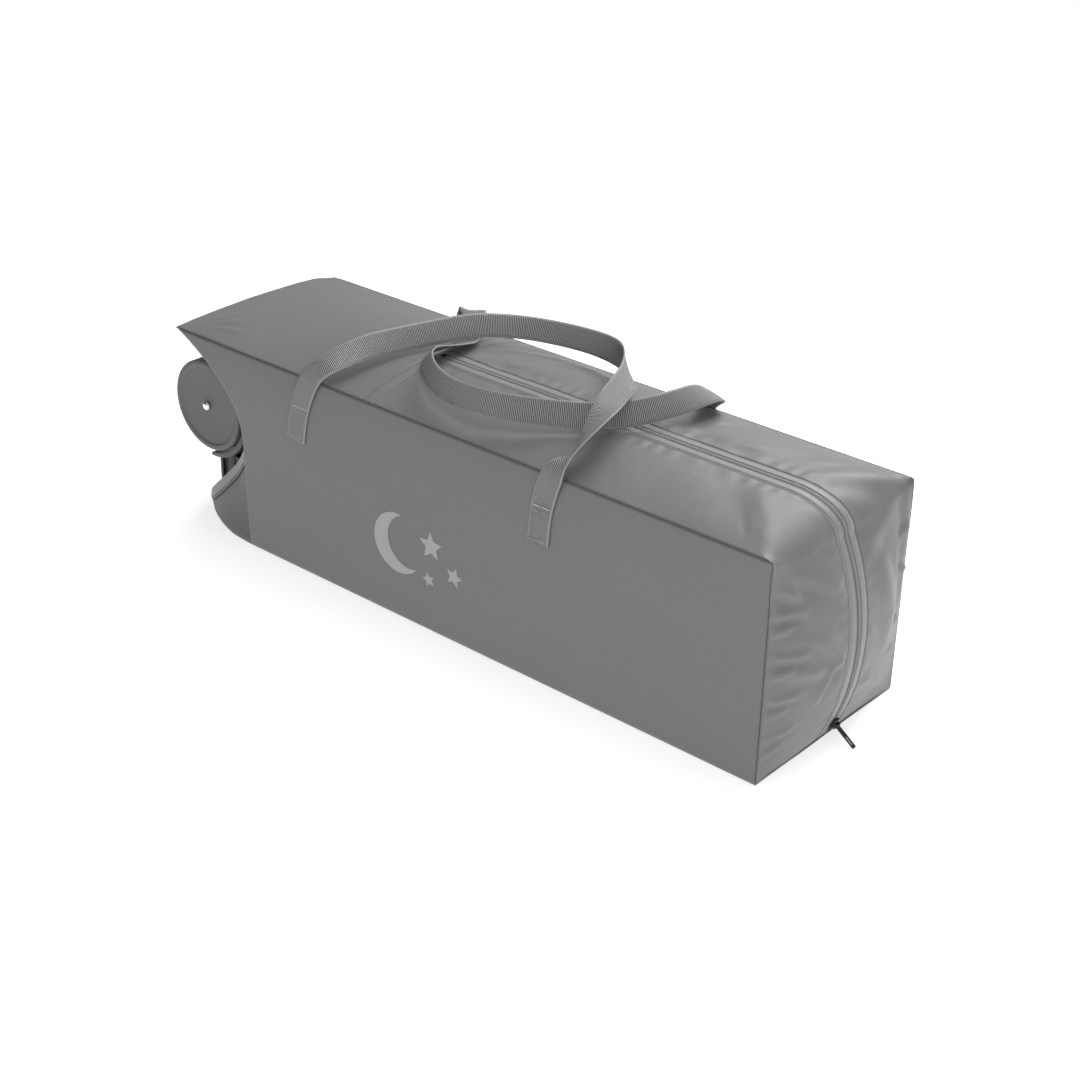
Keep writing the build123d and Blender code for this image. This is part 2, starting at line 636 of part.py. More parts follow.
def wheel_bracket():
    """The moulded bracket: a fender over the tread and a plate behind the wheel, up to the leg."""
    outer_y, inner_y = plate_y()
    fender = upright_plate(fender_outline(), -WHEEL_FACE_Y + 3, inner_y)
    y, z = LEG_PLACES["front_high"]
    leg_end = LEG_TOP_X - LEG_LENGTH
    half = LEG_DIAMETER / 2 + CLAMP_WALL
    arm = block(WHEEL_X - ARM_ROOM, leg_end + CLAMP_LENGTH, outer_y, inner_y, WHEEL_Z - ARM_ROOM, z + half)
    arm = chamfer(arm.edges().filter_by(Axis.Y), ARM_CHAMFER)
    clamp = block(leg_end - CLAMP_WALL, leg_end + CLAMP_LENGTH, inner_y, y + half, z - half, z + half)
    bore = Pos(leg_end, y, z) * Rot(0, 90, 0) * Cylinder(
        LEG_DIAMETER / 2, CLAMP_LENGTH * 2, align=(Align.CENTER, Align.CENTER, Align.MIN)
    )
    pin_hole = disc_y(AXLE_DIAMETER / 2, outer_y - 1, inner_y + 1, WHEEL_X, WHEEL_Z)
    return fender + arm + clamp - bore - pin_hole


def low_foot():
    """The foot on the end of a lower leg: an upright moulded block with a groove down its side."""
    y, z = LEG_PLACES["front_low"]
    leg_end = LEG_TOP_X - LEG_LENGTH
    low = CLOTH + GAP + 6
    shape = block(FOOT_END_X, FOOT_END_X + FOOT_DEPTH, y - 10, y + 20, low, low + FOOT_HEIGHT)
    shape = fillet(shape.edges().filter_by(Axis.Z), 5)
    groove = block(FOOT_END_X + 8, FOOT_END_X + 18, y - 12, y - 7, low + 6, low + FOOT_HEIGHT + 1)
    reach = LEG_DIAMETER / 2 + FOOT_NECK_WALL
    neck = block(FOOT_END_X + FOOT_DEPTH - 1, leg_end + FOOT_NECK, y - 9, y + reach, z - reach, z + reach)
    bore = Pos(leg_end, y, z) * Rot(0, 90, 0) * Cylinder(
        LEG_DIAMETER / 2, FOOT_NECK * 2, align=(Align.CENTER, Align.CENTER, Align.MIN)
    )
    return shape - groove + neck - bore


# --- write every node ------------------------------------------------------------------------------
front = side_panel()
save("bag_front_panel", front)
save("bag_back_panel", mirrored(front))
save("bag_bottom_panel", bottom_panel())
save("bag_top_rear_panel", top_rear_panel())
gusset = gusset_strip((-SIDE_Y, -SIDE_Y * 0.72, -SIDE_Y * 0.42, -TAPE_HALF))
save("bag_gusset_front", gusset)
save("bag_gusset_back", mirrored(gusset))
for node, piece in (("bag_end_flap", end_flap()), ("bag_flap_hem", hem_band()), ("zip_tape", zip_tape())):
    save(f"{node}_front", piece)
    save(f"{node}_back", mirrored(piece))
save("zip_coil", zip_coil())
save("zip_top_stop", zip_start_stop())
save("zip_bottom_stop", zip_end_stop())
save("zip_slider", zip_slider())
save("zip_pull", zip_pull())

save("handle_front", webbing(smooth_route(FRONT_LOOP)))
save("handle_back", webbing(smooth_route(BACK_LOOP)))
for node, ends, side in (("handle_front_ends", FRONT_ENDS, -1), ("handle_back_ends", BACK_ENDS, 1)):
    save(node, Compound(children=[handle_end(places, side) for places in ends]))

for name, (y, z) in LEG_PLACES.items():
    save(f"leg_tube_{name}", tube_x(LEG_DIAMETER, TUBE_WALL, LEG_TOP_X - LEG_LENGTH, LEG_TOP_X, y, z))
    save(f"corner_cap_{name}", corner_cap(y, z))
for name, side in (("front", -1), ("back", 1)):
    rail, latch = long_rail(side)
    save(f"long_rail_{name}", rail)
    save(f"long_rail_latch_{name}", latch)
for name, side in (("low", -1), ("high", 1)):
    rail, latch = short_rail(side)
    save(f"short_rail_{name}", rail)
    save(f"short_rail_latch_{name}", latch)
save("base_tubes", base_tubes())
save("centre_hub", centre_hub())
for node, panel in mattress_panels().items():
    save(node, panel)
save("side_fabric", side_fabric())

wheel_pieces = {
    "wheel_disc": wheel_disc(), "wheel_tyre": wheel_tyre(), "wheel_axle": wheel_axle(),
    "axle_cap": axle_cap(), "wheel_bracket": wheel_bracket(), "low_foot": low_foot(),
}
for node, piece in wheel_pieces.items():
    save(f"{node}_front", piece)
    save(f"{node}_back", mirrored(piece))
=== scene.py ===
import json
import math

import bpy
import numpy as np
from mathutils import Matrix, Vector, noise


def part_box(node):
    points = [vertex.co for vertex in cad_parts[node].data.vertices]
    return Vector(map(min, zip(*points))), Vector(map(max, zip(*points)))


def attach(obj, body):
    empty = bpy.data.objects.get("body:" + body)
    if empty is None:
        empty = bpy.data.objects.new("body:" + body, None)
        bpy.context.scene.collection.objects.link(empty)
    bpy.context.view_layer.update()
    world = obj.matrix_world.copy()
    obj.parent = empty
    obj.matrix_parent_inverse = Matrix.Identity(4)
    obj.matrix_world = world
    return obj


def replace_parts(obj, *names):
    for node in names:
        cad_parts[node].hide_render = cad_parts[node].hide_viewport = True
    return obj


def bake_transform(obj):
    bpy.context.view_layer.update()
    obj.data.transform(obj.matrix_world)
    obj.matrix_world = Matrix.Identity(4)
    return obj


# A folding playpen packed in its zipped carry bag. Metres. +X runs towards the zip end,
# the wheels are at -X, the printed side faces -Y.
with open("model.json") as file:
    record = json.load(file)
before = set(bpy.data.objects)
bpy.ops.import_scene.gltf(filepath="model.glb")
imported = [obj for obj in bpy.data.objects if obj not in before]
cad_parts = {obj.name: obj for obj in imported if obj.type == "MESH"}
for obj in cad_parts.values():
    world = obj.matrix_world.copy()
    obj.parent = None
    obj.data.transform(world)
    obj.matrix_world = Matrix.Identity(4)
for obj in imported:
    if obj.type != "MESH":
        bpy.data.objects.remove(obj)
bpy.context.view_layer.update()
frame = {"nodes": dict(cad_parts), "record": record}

# --- sizes read from the frame ---------------------------------------------------------------------
PANEL_LOW, PANEL_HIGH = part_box("bag_front_panel")
REAR_LOW, REAR_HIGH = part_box("bag_top_rear_panel")
FLAP_LOW, FLAP_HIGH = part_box("bag_end_flap_front")
TAPE_LOW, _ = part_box("zip_tape_front")
_, COIL_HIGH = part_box("zip_coil")
CLOTH = 0.002                          # the cloth's thickness in the frame
SIDE_Y = -PANEL_LOW.y                  # middle plane to a side panel
END_X = PANEL_HIGH.x                   # the end seams
TOP_Z = REAR_LOW.z + CLOTH             # the top seams
CROWN = REAR_HIGH.z - TOP_Z            # how much higher the middle of the top is
CROSS_X = REAR_HIGH.x                  # the seam where the zip starts
TAPE_Y = -TAPE_LOW.y                   # sewn edge of the zip tape
COIL_Y = COIL_HIGH.y
MOUTH_X = FLAP_HIGH.x                  # crease where the side panel turns into the end flap
FLAP_END_X = FLAP_LOW.x                # outer end of the flap on the floor
FLAP_END_Y = abs(FLAP_HIGH.y)
HEM_TOP = FLAP_HIGH.z
HEM_LOW = 0.016                        # height of the hem's lower end
ZIP_RADIUS = 0.249963                  # the arc that the zip follows down the end
COIL_PROUD = 0.0008                    # how far the coil stands above its tape
ZIP_CENTRE_X = COIL_HIGH.x - COIL_PROUD - ZIP_RADIUS
ZIP_CENTRE_Z = 0.116
SKIN_WALL = 0.0011                     # the visible cloth's thickness


# ================================================
# Shader helpers
# ================================================
class Socket:
    """An output socket that takes Python's operators, each of which adds a Math node."""

    def __init__(self, finish, link):
        self.finish = finish
        self.link = link

    def maths(self, operation, first, second=0.0):
        return self.finish.node("ShaderNodeMath", {"operation": operation}, first, second)

    def __add__(self, other):
        return self.maths("ADD", self, other)

    def __radd__(self, other):
        return self.maths("ADD", other, self)

    def __sub__(self, other):
        return self.maths("SUBTRACT", self, other)

    def __rsub__(self, other):
        return self.maths("SUBTRACT", other, self)

    def __mul__(self, other):
        return self.maths("MULTIPLY", self, other)

    def __rmul__(self, other):
        return self.maths("MULTIPLY", other, self)

    def __gt__(self, other):
        return self.maths("GREATER_THAN", self, other)

    def wave(self):
        return self.maths("SINE", self)

    def size(self):
        return self.maths("ABSOLUTE", self)

    def power(self, exponent):
        return self.maths("POWER", self, exponent)

    def at_most(self, other):
        return self.maths("MINIMUM", self, other)


class Finish:
    """One procedural material."""

    def __init__(self, name, colour, roughness=0.6, **constants):
        self.material = bpy.data.materials.new(name)
        self.material.use_nodes = True
        self.tree = self.material.node_tree
        self.shader = self.tree.nodes["Principled BSDF"]
        self.put("Base Color", (*colour, 1.0))
        self.put("Roughness", roughness)
        for socket, value in constants.items():
            self.put(socket.replace("_", " "), value)
        self.material.diffuse_color = (*colour, 1.0)

    def put(self, socket, value):
        """Set or link one of the shader's sockets."""
        target = self.shader.inputs[socket]
        if isinstance(value, Socket):
            self.tree.links.new(value.link, target)
        else:
            target.default_value = value

    def node(self, kind, settings, *values, output=0, **named):
        """Add any node: its settings, then its sockets by position or name. None leaves one alone."""
        added = self.tree.nodes.new(kind)
        for setting, value in settings.items():
            setattr(added, setting, value)
        sockets = list(zip(added.inputs, values))
        sockets += [(added.inputs[key], value) for key, value in named.items()]
        for target, value in sockets:
            if isinstance(value, Socket):
                self.tree.links.new(value.link, target)
            elif value is not None:
                target.default_value = value
        return Socket(self, added.outputs[output])

    def place(self, kind="Object"):
        """Object or UV coordinates."""
        return self.node("ShaderNodeTexCoord", {}, output={"Object": 3, "UV": 2}[kind])

    def split(self, vector):
        """The three numbers of a vector."""
        parts = self.node("ShaderNodeSeparateXYZ", {}, vector).link.node
        return [Socket(self, out) for out in parts.outputs]

    def grain(self, vector, scale, detail=3.0, roughness=0.55):
        """Smooth noise from 0 to 1."""
        return self.node(
            "ShaderNodeTexNoise", {}, Vector=vector, Scale=scale, Detail=detail, Roughness=roughness
        )

    def mixed(self, amount, dark, light):
        """A colour between two, by a number from 0 to 1."""
        skipped = [None] * 5            # the node's number and vector sockets come before its colours
        colours = (*dark, 1.0), (*light, 1.0)
        return self.node("ShaderNodeMix", {"data_type": "RGBA"}, amount, *skipped, *colours, output=2)

    def bump(self, height, strength, distance):
        """Raise the surface by a height from 0 to 1 times a distance in metres."""
        raised = self.node("ShaderNodeBump", {}, Strength=strength, Distance=distance, Height=height)
        self.put("Normal", raised)


def shade(colour, factor):
    """A darker or lighter copy of a colour."""
    return tuple(channel * factor for channel in colour)


# ================================================
# Finishes
# ================================================
CLOTH_GREY = (0.166, 0.171, 0.168)


def cloth_finish(name, colour, roughness, wrinkle=0.0006):
    """Satin polyester: a fine weave, slow changes of tone and small wrinkles."""
    finish = Finish(name, colour, roughness)
    place = finish.place()
    slow = finish.grain(place, 7.0, 2.0)
    finish.put("Base Color", finish.mixed(slow, shade(colour, 0.93), shade(colour, 1.07)))
    x, y, z = finish.split(place)
    threads = ((x + y * 0.6) * 5200).wave() * 0.5 + ((z + y) * 5200).wave() * 0.5
    small = finish.grain(place, 34.0, 4.0, 0.5)
    finish.bump(small + threads * 0.012, 0.55, wrinkle)
    finish.put("Roughness", slow * 0.12 + (roughness - 0.06))
    finish.put("Sheen Weight", 0.12)
    finish.put("Sheen Roughness", 0.45)
    return finish.material


def webbing_finish():
    """Woven webbing: ribbed across, lighter threads, plain edges; its colour is dark in the rib grooves and
    light on the crests, painted shade and painted highlight over the weave's own tone. UV is in metres, U
    along.
    """
    finish = Finish("webbing", (0.17, 0.17, 0.17), 0.5)
    along, across, _ = finish.split(finish.place("UV"))
    edge = across.size() > 0.0121
    worn = finish.grain(finish.place(), 90.0, 3.0)
    rib = (along * 3300 + worn * 0.8).wave() * 0.5 + 0.5
    threads = (across * 4400).wave() * 0.5 + 0.5
    # The rib wave darkens the grooves and lightens the crests: painted shade and painted highlight of the
    # ribs, over the weave's own lighter threads.
    rib_shade_and_weave = rib.power(1.3) * (0.85 + threads * 0.15)
    tone = (rib_shade_and_weave * (1 - edge) + edge * (0.45 + rib * 0.3)).at_most(1.0)
    finish.put("Base Color", finish.mixed(tone, (0.045, 0.046, 0.047), (0.50, 0.505, 0.51)))
    finish.bump(rib * (1 - edge * 0.6) + threads * 0.12, 0.9, 0.0006)
    return finish.material


def moulded_finish(name, colour, roughness=0.48):
    """Moulded plastic with a fine spark texture."""
    finish = Finish(name, colour, roughness)
    place = finish.place()
    speck = finish.grain(place, 900.0, 2.0)
    finish.bump(speck, 0.25, 0.00012)
    wear = finish.grain(place, 40.0, 3.0)
    finish.put("Base Color", finish.mixed(wear, shade(colour, 0.94), shade(colour, 1.06)))
    return finish.material


def metal_finish(name, colour, roughness):
    """Bare or plated metal."""
    finish = Finish(name, colour, roughness, Metallic=1.0)
    finish.put("Roughness", finish.grain(finish.place(), 160.0, 2.0) * 0.1 + (roughness - 0.05))
    return finish.material


def mesh_finish():
    """The net of the frame's sides: a grid of fine holes."""
    finish = Finish("side_mesh", (0.09, 0.09, 0.092), 0.8)
    x, y, z = finish.split(finish.place())
    cells = ((x + y) * 1600).wave() * ((z + y * 0.7) * 1600).wave()
    finish.put("Base Color", finish.mixed(cells * 0.5 + 0.5, (0.03, 0.03, 0.03), (0.13, 0.13, 0.135)))
    finish.bump(cells * 0.5 + 0.5, 0.6, 0.0005)
    return finish.material


FINISHES = {
    "bag_cloth": cloth_finish("bag_cloth", CLOTH_GREY, 0.50),
    "binding": cloth_finish("binding", (0.235, 0.24, 0.236), 0.55, 0.0002),
    "zip_tape": cloth_finish("zip_tape", (0.235, 0.24, 0.237), 0.48, 0.0002),
    "zip_coil": moulded_finish("zip_coil", (0.27, 0.272, 0.27), 0.45),
    "zip_metal": moulded_finish("zip_metal", (0.012, 0.012, 0.013), 0.32),
    "webbing": webbing_finish(),
    "frame_tube": metal_finish("frame_tube", (0.42, 0.42, 0.43), 0.35),
    "frame_plastic": moulded_finish("frame_plastic", (0.045, 0.045, 0.048)),
    "mattress_cloth": cloth_finish("mattress_cloth", (0.10, 0.102, 0.105), 0.75, 0.0003),
    "side_mesh": mesh_finish(),
    "wheel_plastic": moulded_finish("wheel_plastic", (0.172, 0.165, 0.167), 0.5),
    "wheel_tread": moulded_finish("wheel_tread", (0.145, 0.140, 0.141), 0.6),
    "axle_steel": metal_finish("axle_steel", (0.55, 0.55, 0.56), 0.3),
    "cap_chrome": metal_finish("cap_chrome", (0.85, 0.85, 0.86), 0.14),
    "bracket_plastic": moulded_finish("bracket_plastic", (0.10, 0.098, 0.10), 0.5),
    "foot_plastic": moulded_finish("foot_plastic", (0.022, 0.022, 0.023), 0.42),
}
# The end flaps' cloth is the bag cloth darkened to 0.62: painted shade for the shade the flaps stand in; the
# fabric is the same.
FLAP_CLOTH_PAINTED_SHADE = cloth_finish("flap_cloth_painted_shade", shade(CLOTH_GREY, 0.62), 0.55)
THREAD_DARK = moulded_finish("thread_dark", (0.075, 0.075, 0.076), 0.7)
THREAD_MID = moulded_finish("thread_mid", (0.20, 0.203, 0.20), 0.7)
THREAD_LIGHT = moulded_finish("thread_light", (0.62, 0.62, 0.62), 0.7)
THREAD_SOFT = moulded_finish("thread_soft", (0.36, 0.365, 0.36), 0.7)
# Dark grey for painted shadow in the grooves of the top seams and under the hem's fold, and for the dark
# thread beside the zip coil.
SEAM_SHADOW_AND_DARK_THREAD = moulded_finish("seam_shadow_and_dark_thread", (0.072, 0.074, 0.073), 0.8)
PRINT_INK = moulded_finish("print_ink", (0.40, 0.405, 0.405), 0.55)
SLOT_OF = {row["node"]: row["material_slot"] for row in frame["record"]["subparts"]}
BODY_OF = {node: body for body, nodes in frame["record"]["behaviour"]["bodies"].items() for node in nodes}
for node, cad in frame["nodes"].items():
    cad.data.materials.clear()
    cad.data.materials.append(FINISHES[SLOT_OF[node]])


# ================================================
# Building helpers
# ================================================
def made(name, vertices, faces, uvs=None, thick=0.0, material=None):
    """A cloth mesh from points and faces, smooth, with UVs in metres and a wall towards the inside."""
    data = bpy.data.meshes.new(name)
    data.from_pydata([tuple(map(float, v)) for v in vertices], [], faces)
    piece = bpy.data.objects.new(name, data)
    bpy.context.collection.objects.link(piece)
    if uvs is not None:
        layer = data.uv_layers.new(name="UVMap")
        for loop in data.loops:
            layer.data[loop.index].uv = uvs[loop.vertex_index]
    data.polygons.foreach_set("use_smooth", [True] * len(data.polygons))
    if material:
        data.materials.append(material)
    if thick:
        wall = piece.modifiers.new("wall", "SOLIDIFY")
        wall.thickness = thick
        wall.offset = -1.0
        wall.use_even_offset = False
    return piece


def grid_faces(rows, columns):
    """Quads of a grid of points."""
    return [
        (i * columns + j, (i + 1) * columns + j, (i + 1) * columns + j + 1, i * columns + j + 1)
        for i in range(rows - 1) for j in range(columns - 1)
    ]


def grid_piece(name, points, uvs, thick, material, flip=False):
    """A cloth piece from a rows x columns x 3 array of points."""
    faces = grid_faces(*points.shape[:2])
    if flip:
        faces = [face[::-1] for face in faces]
    return made(name, points.reshape(-1, 3), faces, uvs.reshape(-1, 2), thick, material)


def belongs(piece, node):
    """Give a piece the body of a CAD node."""
    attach(piece, BODY_OF[node])
    return piece


def stands_for(piece, node):
    """The same, for a piece that is shown in place of the node."""
    belongs(piece, node)
    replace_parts(piece, node)


def only(piece):
    """Select one object and make it active."""
    bpy.ops.object.select_all(action="DESELECT")
    piece.select_set(True)
    bpy.context.view_layer.objects.active = piece


def round_edges(piece, width, angle):
    """Round the edges that turn by more than an angle in degrees, and smooth what is left."""
    edge = piece.modifiers.new("edges", "BEVEL")
    edge.width = width
    edge.segments = 2
    edge.limit_method = "ANGLE"
    edge.angle_limit = math.radians(angle)
    bpy.ops.object.modifier_apply(modifier=edge.name)
    bpy.ops.object.shade_smooth_by_angle(angle=math.radians(30))


def softened_copy(node, width):
    """A copy of a rigid CAD node with its sharp edges rounded, which stands for the node."""
    cad = frame["nodes"][node]
    piece = cad.copy()
    piece.data = cad.data.copy()
    for key in list(piece.keys()):
        if key.startswith("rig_"):
            del piece[key]
    piece.name = f"{node}_look"
    bpy.context.collection.objects.link(piece)
    world = cad.matrix_world.copy()
    piece.parent = None
    piece.matrix_world = world
    only(piece)
    bpy.ops.object.mode_set(mode="EDIT")
    bpy.ops.mesh.select_all(action="SELECT")
    bpy.ops.mesh.remove_doubles(threshold=0.00001)
    bpy.ops.mesh.tris_convert_to_quads(face_threshold=math.radians(2), shape_threshold=math.radians(180))
    bpy.ops.mesh.dissolve_limited(angle_limit=math.radians(1))
    bpy.ops.object.mode_set(mode="OBJECT")
    round_edges(piece, width, 35)
    stands_for(piece, node)


def catmull(points, steps):
    """Smooth points through a list of points."""
    points = [np.array(p, float) for p in points]
    last = len(points) - 1
    result = []
    for i in range(last):
        a, b, c, d = (points[k] for k in (max(i - 1, 0), i, i + 1, min(i + 2, last)))
        for step in range(steps):
            t = step / steps
            curve = (2 * a - 5 * b + 4 * c - d) * t**2 + (3 * b - a - 3 * c + d) * t**3
            result.append(0.5 * (2 * b + (c - a) * t + curve))
    result.append(points[last])
    return np.array(result)


def along_path(distance, travel, values):
    """Values given along a path, at one distance along it."""
    return np.array([np.interp(distance, travel, values[:, k]) for k in range(3)])


def tube_along(name, points, radius, material, sides=8):
    """A thin closed cord of thread or piping along points."""
    points = np.array(points, float)
    tangents = np.gradient(points, axis=0)
    vertices, faces = [], []
    for point, tangent in zip(points, tangents):
        tangent = Vector(tangent).normalized()
        side = tangent.cross(Vector((0.3, 0.2, 0.93))).normalized()
        up = side.cross(tangent)
        for k in range(sides):
            turn = 2 * math.pi * k / sides
            vertices.append(Vector(point) + radius * (side * math.cos(turn) + up * math.sin(turn)))
    for i in range(len(points) - 1):
        for k in range(sides):
            n = (k + 1) % sides
            faces.append((i * sides + k, i * sides + n, (i + 1) * sides + n, (i + 1) * sides + k))
    faces.append(tuple(range(sides)))
    faces.append(tuple((len(points) - 1) * sides + k for k in reversed(range(sides))))
    return made(name, vertices, [f[::-1] for f in faces], None, 0, material)


def begin(add_primitive, **sizes):
    """Add a primitive, alone in the selection, and start to edit all of it."""
    bpy.ops.object.select_all(action="DESELECT")
    add_primitive(**sizes)
    bpy.ops.object.mode_set(mode="EDIT")
    bpy.ops.mesh.select_all(action="SELECT")
    return bpy.context.object


def pick_faces(piece, test):
    """While editing, select only the faces whose normals pass a test."""
    bpy.ops.mesh.select_mode(type="FACE")
    bpy.ops.mesh.select_all(action="DESELECT")
    bpy.ops.object.mode_set(mode="OBJECT")
    for face in piece.data.polygons:
        face.select = test(face.normal)
    bpy.ops.object.mode_set(mode="EDIT")


def shape_of(piece):
    """A small modelled shape as points and faces, to be copied many times."""
    bpy.ops.object.mode_set(mode="OBJECT")
    vertices = np.array([v.co for v in piece.data.vertices])
    faces = [tuple(f.vertices) for f in piece.data.polygons]
    bpy.data.objects.remove(piece, do_unlink=True)
    return vertices, faces


def modelled_stitch():
    """One stitch of thread, along X: a six-sided rod, drawn in at its ends."""
    rod = begin(bpy.ops.mesh.primitive_cylinder_add, vertices=6, radius=1.0, depth=1.0)
    bpy.ops.transform.rotate(value=math.pi / 2, orient_axis="Y", center_override=(0, 0, 0))
    pick_faces(rod, lambda normal: abs(normal.x) > 0.9)
    bpy.ops.mesh.inset(thickness=0.4)
    vertices, faces = shape_of(rod)
    inner = np.hypot(vertices[:, 1], vertices[:, 2]) < 0.8
    vertices[inner, 0] *= 1.25
    return vertices, faces


STITCH = modelled_stitch()
STITCH_PITCH = 0.0036


def stitch_row(name, points, normals, pitch, material, length=0.65, radius=0.00032, like="bag_front_panel"):
    """A row of stitches along points on cloth, one copy of the modelled stitch for each."""
    points, normals = np.array(points, float), np.array(normals, float)
    steps = np.linalg.norm(np.diff(points, axis=0), axis=1)
    travel = np.concatenate([[0], np.cumsum(steps)])
    count = max(1, int(travel[-1] / pitch))
    centres = (np.arange(count) + 0.5) * travel[-1] / count
    shape, rod_faces = STITCH
    vertices, faces = [], []

    half = pitch * length / 2
    for centre in centres:
        start = along_path(max(centre - half, 0), travel, points)
        end = along_path(min(centre + half, travel[-1]), travel, points)
        up = along_path(centre, travel, normals)
        up /= np.linalg.norm(up)
        along = (end - start) / max(np.linalg.norm(end - start), 1e-9)
        side = np.cross(up, along)
        first = len(vertices)
        middle = (start + end) / 2 + up * radius * 0.5
        for x, y, z in shape:
            vertices.append(middle + along * x * half * 2 + side * y * radius + up * z * radius)
        faces.extend(tuple(first + k for k in face) for face in rod_faces)
    piece = made(name, vertices, faces, None, 0, material)
    belongs(piece, like)


# ================================================
# The top and the zip end: one surface, cut into its sewn pieces
# ================================================
def smooth_step(low, high, value):
    """0 below low, 1 above high, smooth between."""
    t = np.clip((value - low) / (high - low), 0, 1)
    return t * t * (3 - 2 * t)


def crown_at(x):
    """The top's crown along the bag: flatter towards the wheel end."""
    return CROWN * (0.30 + 0.70 * smooth_step(-END_X, CROSS_X, x))


def end_out(z, share):
    """How far out the zip end stands."""
    arc = ZIP_CENTRE_X + math.sqrt(ZIP_RADIUS**2 - (z - ZIP_CENTRE_Z) ** 2)
    return END_X + share * (arc - END_X)


COLUMNS = {"rear": 76, "top": 128, "corner": 18, "end": 58}
lines = np.concatenate([
    np.linspace(-SIDE_Y, -TAPE_Y, 31),
    np.linspace(-TAPE_Y, -COIL_Y, 4)[1:],
    np.linspace(-COIL_Y, COIL_Y, 7)[1:],
    np.linspace(COIL_Y, TAPE_Y, 4)[1:],
    np.linspace(TAPE_Y, SIDE_Y, 31)[1:],
])
TAPE_LINES = (30, 33, 39, 42)           # where the lines meet tape, coil, coil, tape


def skin_base():
    """The surface without its folds: rows along the bag, columns across it."""
    surface = []
    for y in lines:
        share = 1 - (y / SIDE_Y) ** 2
        top = TOP_Z + CROWN * share
        corner_x = 0.004 + share**0.6 * 0.058
        corner_z = 0.004 + share**0.6 * 0.030
        shoulder = top - corner_z
        outer = end_out(shoulder, share)
        points = []
        for x in np.linspace(-END_X, CROSS_X, COLUMNS["rear"] + 1):
            near = (1 - smooth_step(0.0, 0.06, x + END_X))
            draw = 0.011 * smooth_step(0.094, 0.12, y) * near + 0.002 * share * near
            points.append((x + draw, y, TOP_Z + crown_at(x) * share))
        for x in np.linspace(CROSS_X, outer - corner_x, COLUMNS["top"] + 1)[1:]:
            points.append((x, y, top))
        for turn in np.linspace(math.pi / 2, 0, COLUMNS["corner"] + 1)[1:]:
            x = outer - corner_x + corner_x * math.cos(turn)
            points.append((x, y, shoulder + corner_z * math.sin(turn)))
        for z in np.linspace(shoulder, 0.0015, COLUMNS["end"] + 1)[1:]:
            points.append((end_out(z, share), y, z))
        surface.append(points)
    return np.array(surface).transpose(1, 0, 2)


def surface_normals(surface):
    """Outward normals of a surface array."""
    along = np.gradient(surface, axis=0)
    across = np.gradient(surface, axis=1)
    normals = np.cross(along, across)
    return normals / np.linalg.norm(normals, axis=2, keepdims=True)


base = skin_base()
steps = np.linalg.norm(np.diff(base, axis=0), axis=2)
travel = np.concatenate([np.zeros((1, len(lines))), np.cumsum(steps, axis=0)])
travel_line = travel[:, len(lines) // 2]
ZIP_START = travel_line[COLUMNS["rear"]]
END_START = COLUMNS["rear"] + COLUMNS["top"] + COLUMNS["corner"]
spread = np.repeat(lines[None, :], len(base), axis=0)


def nearest(place):
    """A point's place on the surface: distance along the bag, and Y."""
    gap = np.linalg.norm(base - np.array(place), axis=2)
    row, column = np.unravel_index(np.argmin(gap), gap.shape)
    return travel[row, column], lines[column]


def hump(distance, width):
    """A smooth hump, 1 in its middle."""
    return np.exp(-((distance / width) ** 2))


def fold(start, end, height, width, bow=0.0, dip=0.35):
    """A soft fold from one point to another, with a shallow valley along one side."""
    (s0, y0), (s1, y1) = nearest(start), nearest(end)
    run = np.hypot(s1 - s0, y1 - y0)
    ds, dy = (s1 - s0) / run, (y1 - y0) / run
    t = ((travel - s0) * ds + (spread - y0) * dy) / run
    d = -(travel - s0) * dy + (spread - y0) * ds - bow * 4 * np.clip(t, 0, 1) * (1 - np.clip(t, 0, 1))
    ends = smooth_step(-0.15, 0.25, t) * (1 - smooth_step(0.7, 1.15, t))
    ridge = hump(d, width) - dip * hump(d + 1.5 * width, 1.2 * width)
    return height * ends * ridge


def crumple(points, scale, seed):
    """Slow noise over the surface, from -1 to 1."""
    flat = points.reshape(-1, 3)
    values = [noise.fractal(Vector(p) * scale + Vector((seed, seed * 0.7, 3.1)), 0.6, 2.0, 3) for p in flat]
    return np.array(values).reshape(points.shape[:2])


# longer folds: two ends, height, width and bow of each
END_FOLDS = (
    ((0.43, -0.110, 0.232), (0.46, -0.030, 0.130), 0.0042, 0.0085, -0.006),
    ((0.45, -0.090, 0.225), (0.47, -0.022, 0.190), 0.0030, 0.0070, 0.003),
    ((0.45, -0.070, 0.150), (0.47, -0.022, 0.096), 0.0038, 0.0065, 0.004),
    ((0.45, -0.060, 0.070), (0.46, -0.024, 0.118), 0.0034, 0.0060, 0.004),
    ((0.45, -0.112, 0.120), (0.47, -0.050, 0.105), 0.0030, 0.0070, 0.0),
    ((0.45, 0.026, 0.214), (0.44, 0.090, 0.236), 0.0036, 0.0110, 0.0),
    ((0.45, 0.048, 0.200), (0.45, 0.074, 0.070), 0.0036, 0.0150, 0.004),
    ((0.44, 0.112, 0.226), (0.44, 0.098, 0.090), 0.0026, 0.0080, 0.0),
    ((0.45, 0.020, 0.060), (0.44, 0.100, 0.018), 0.0026, 0.0080, 0.0),
)
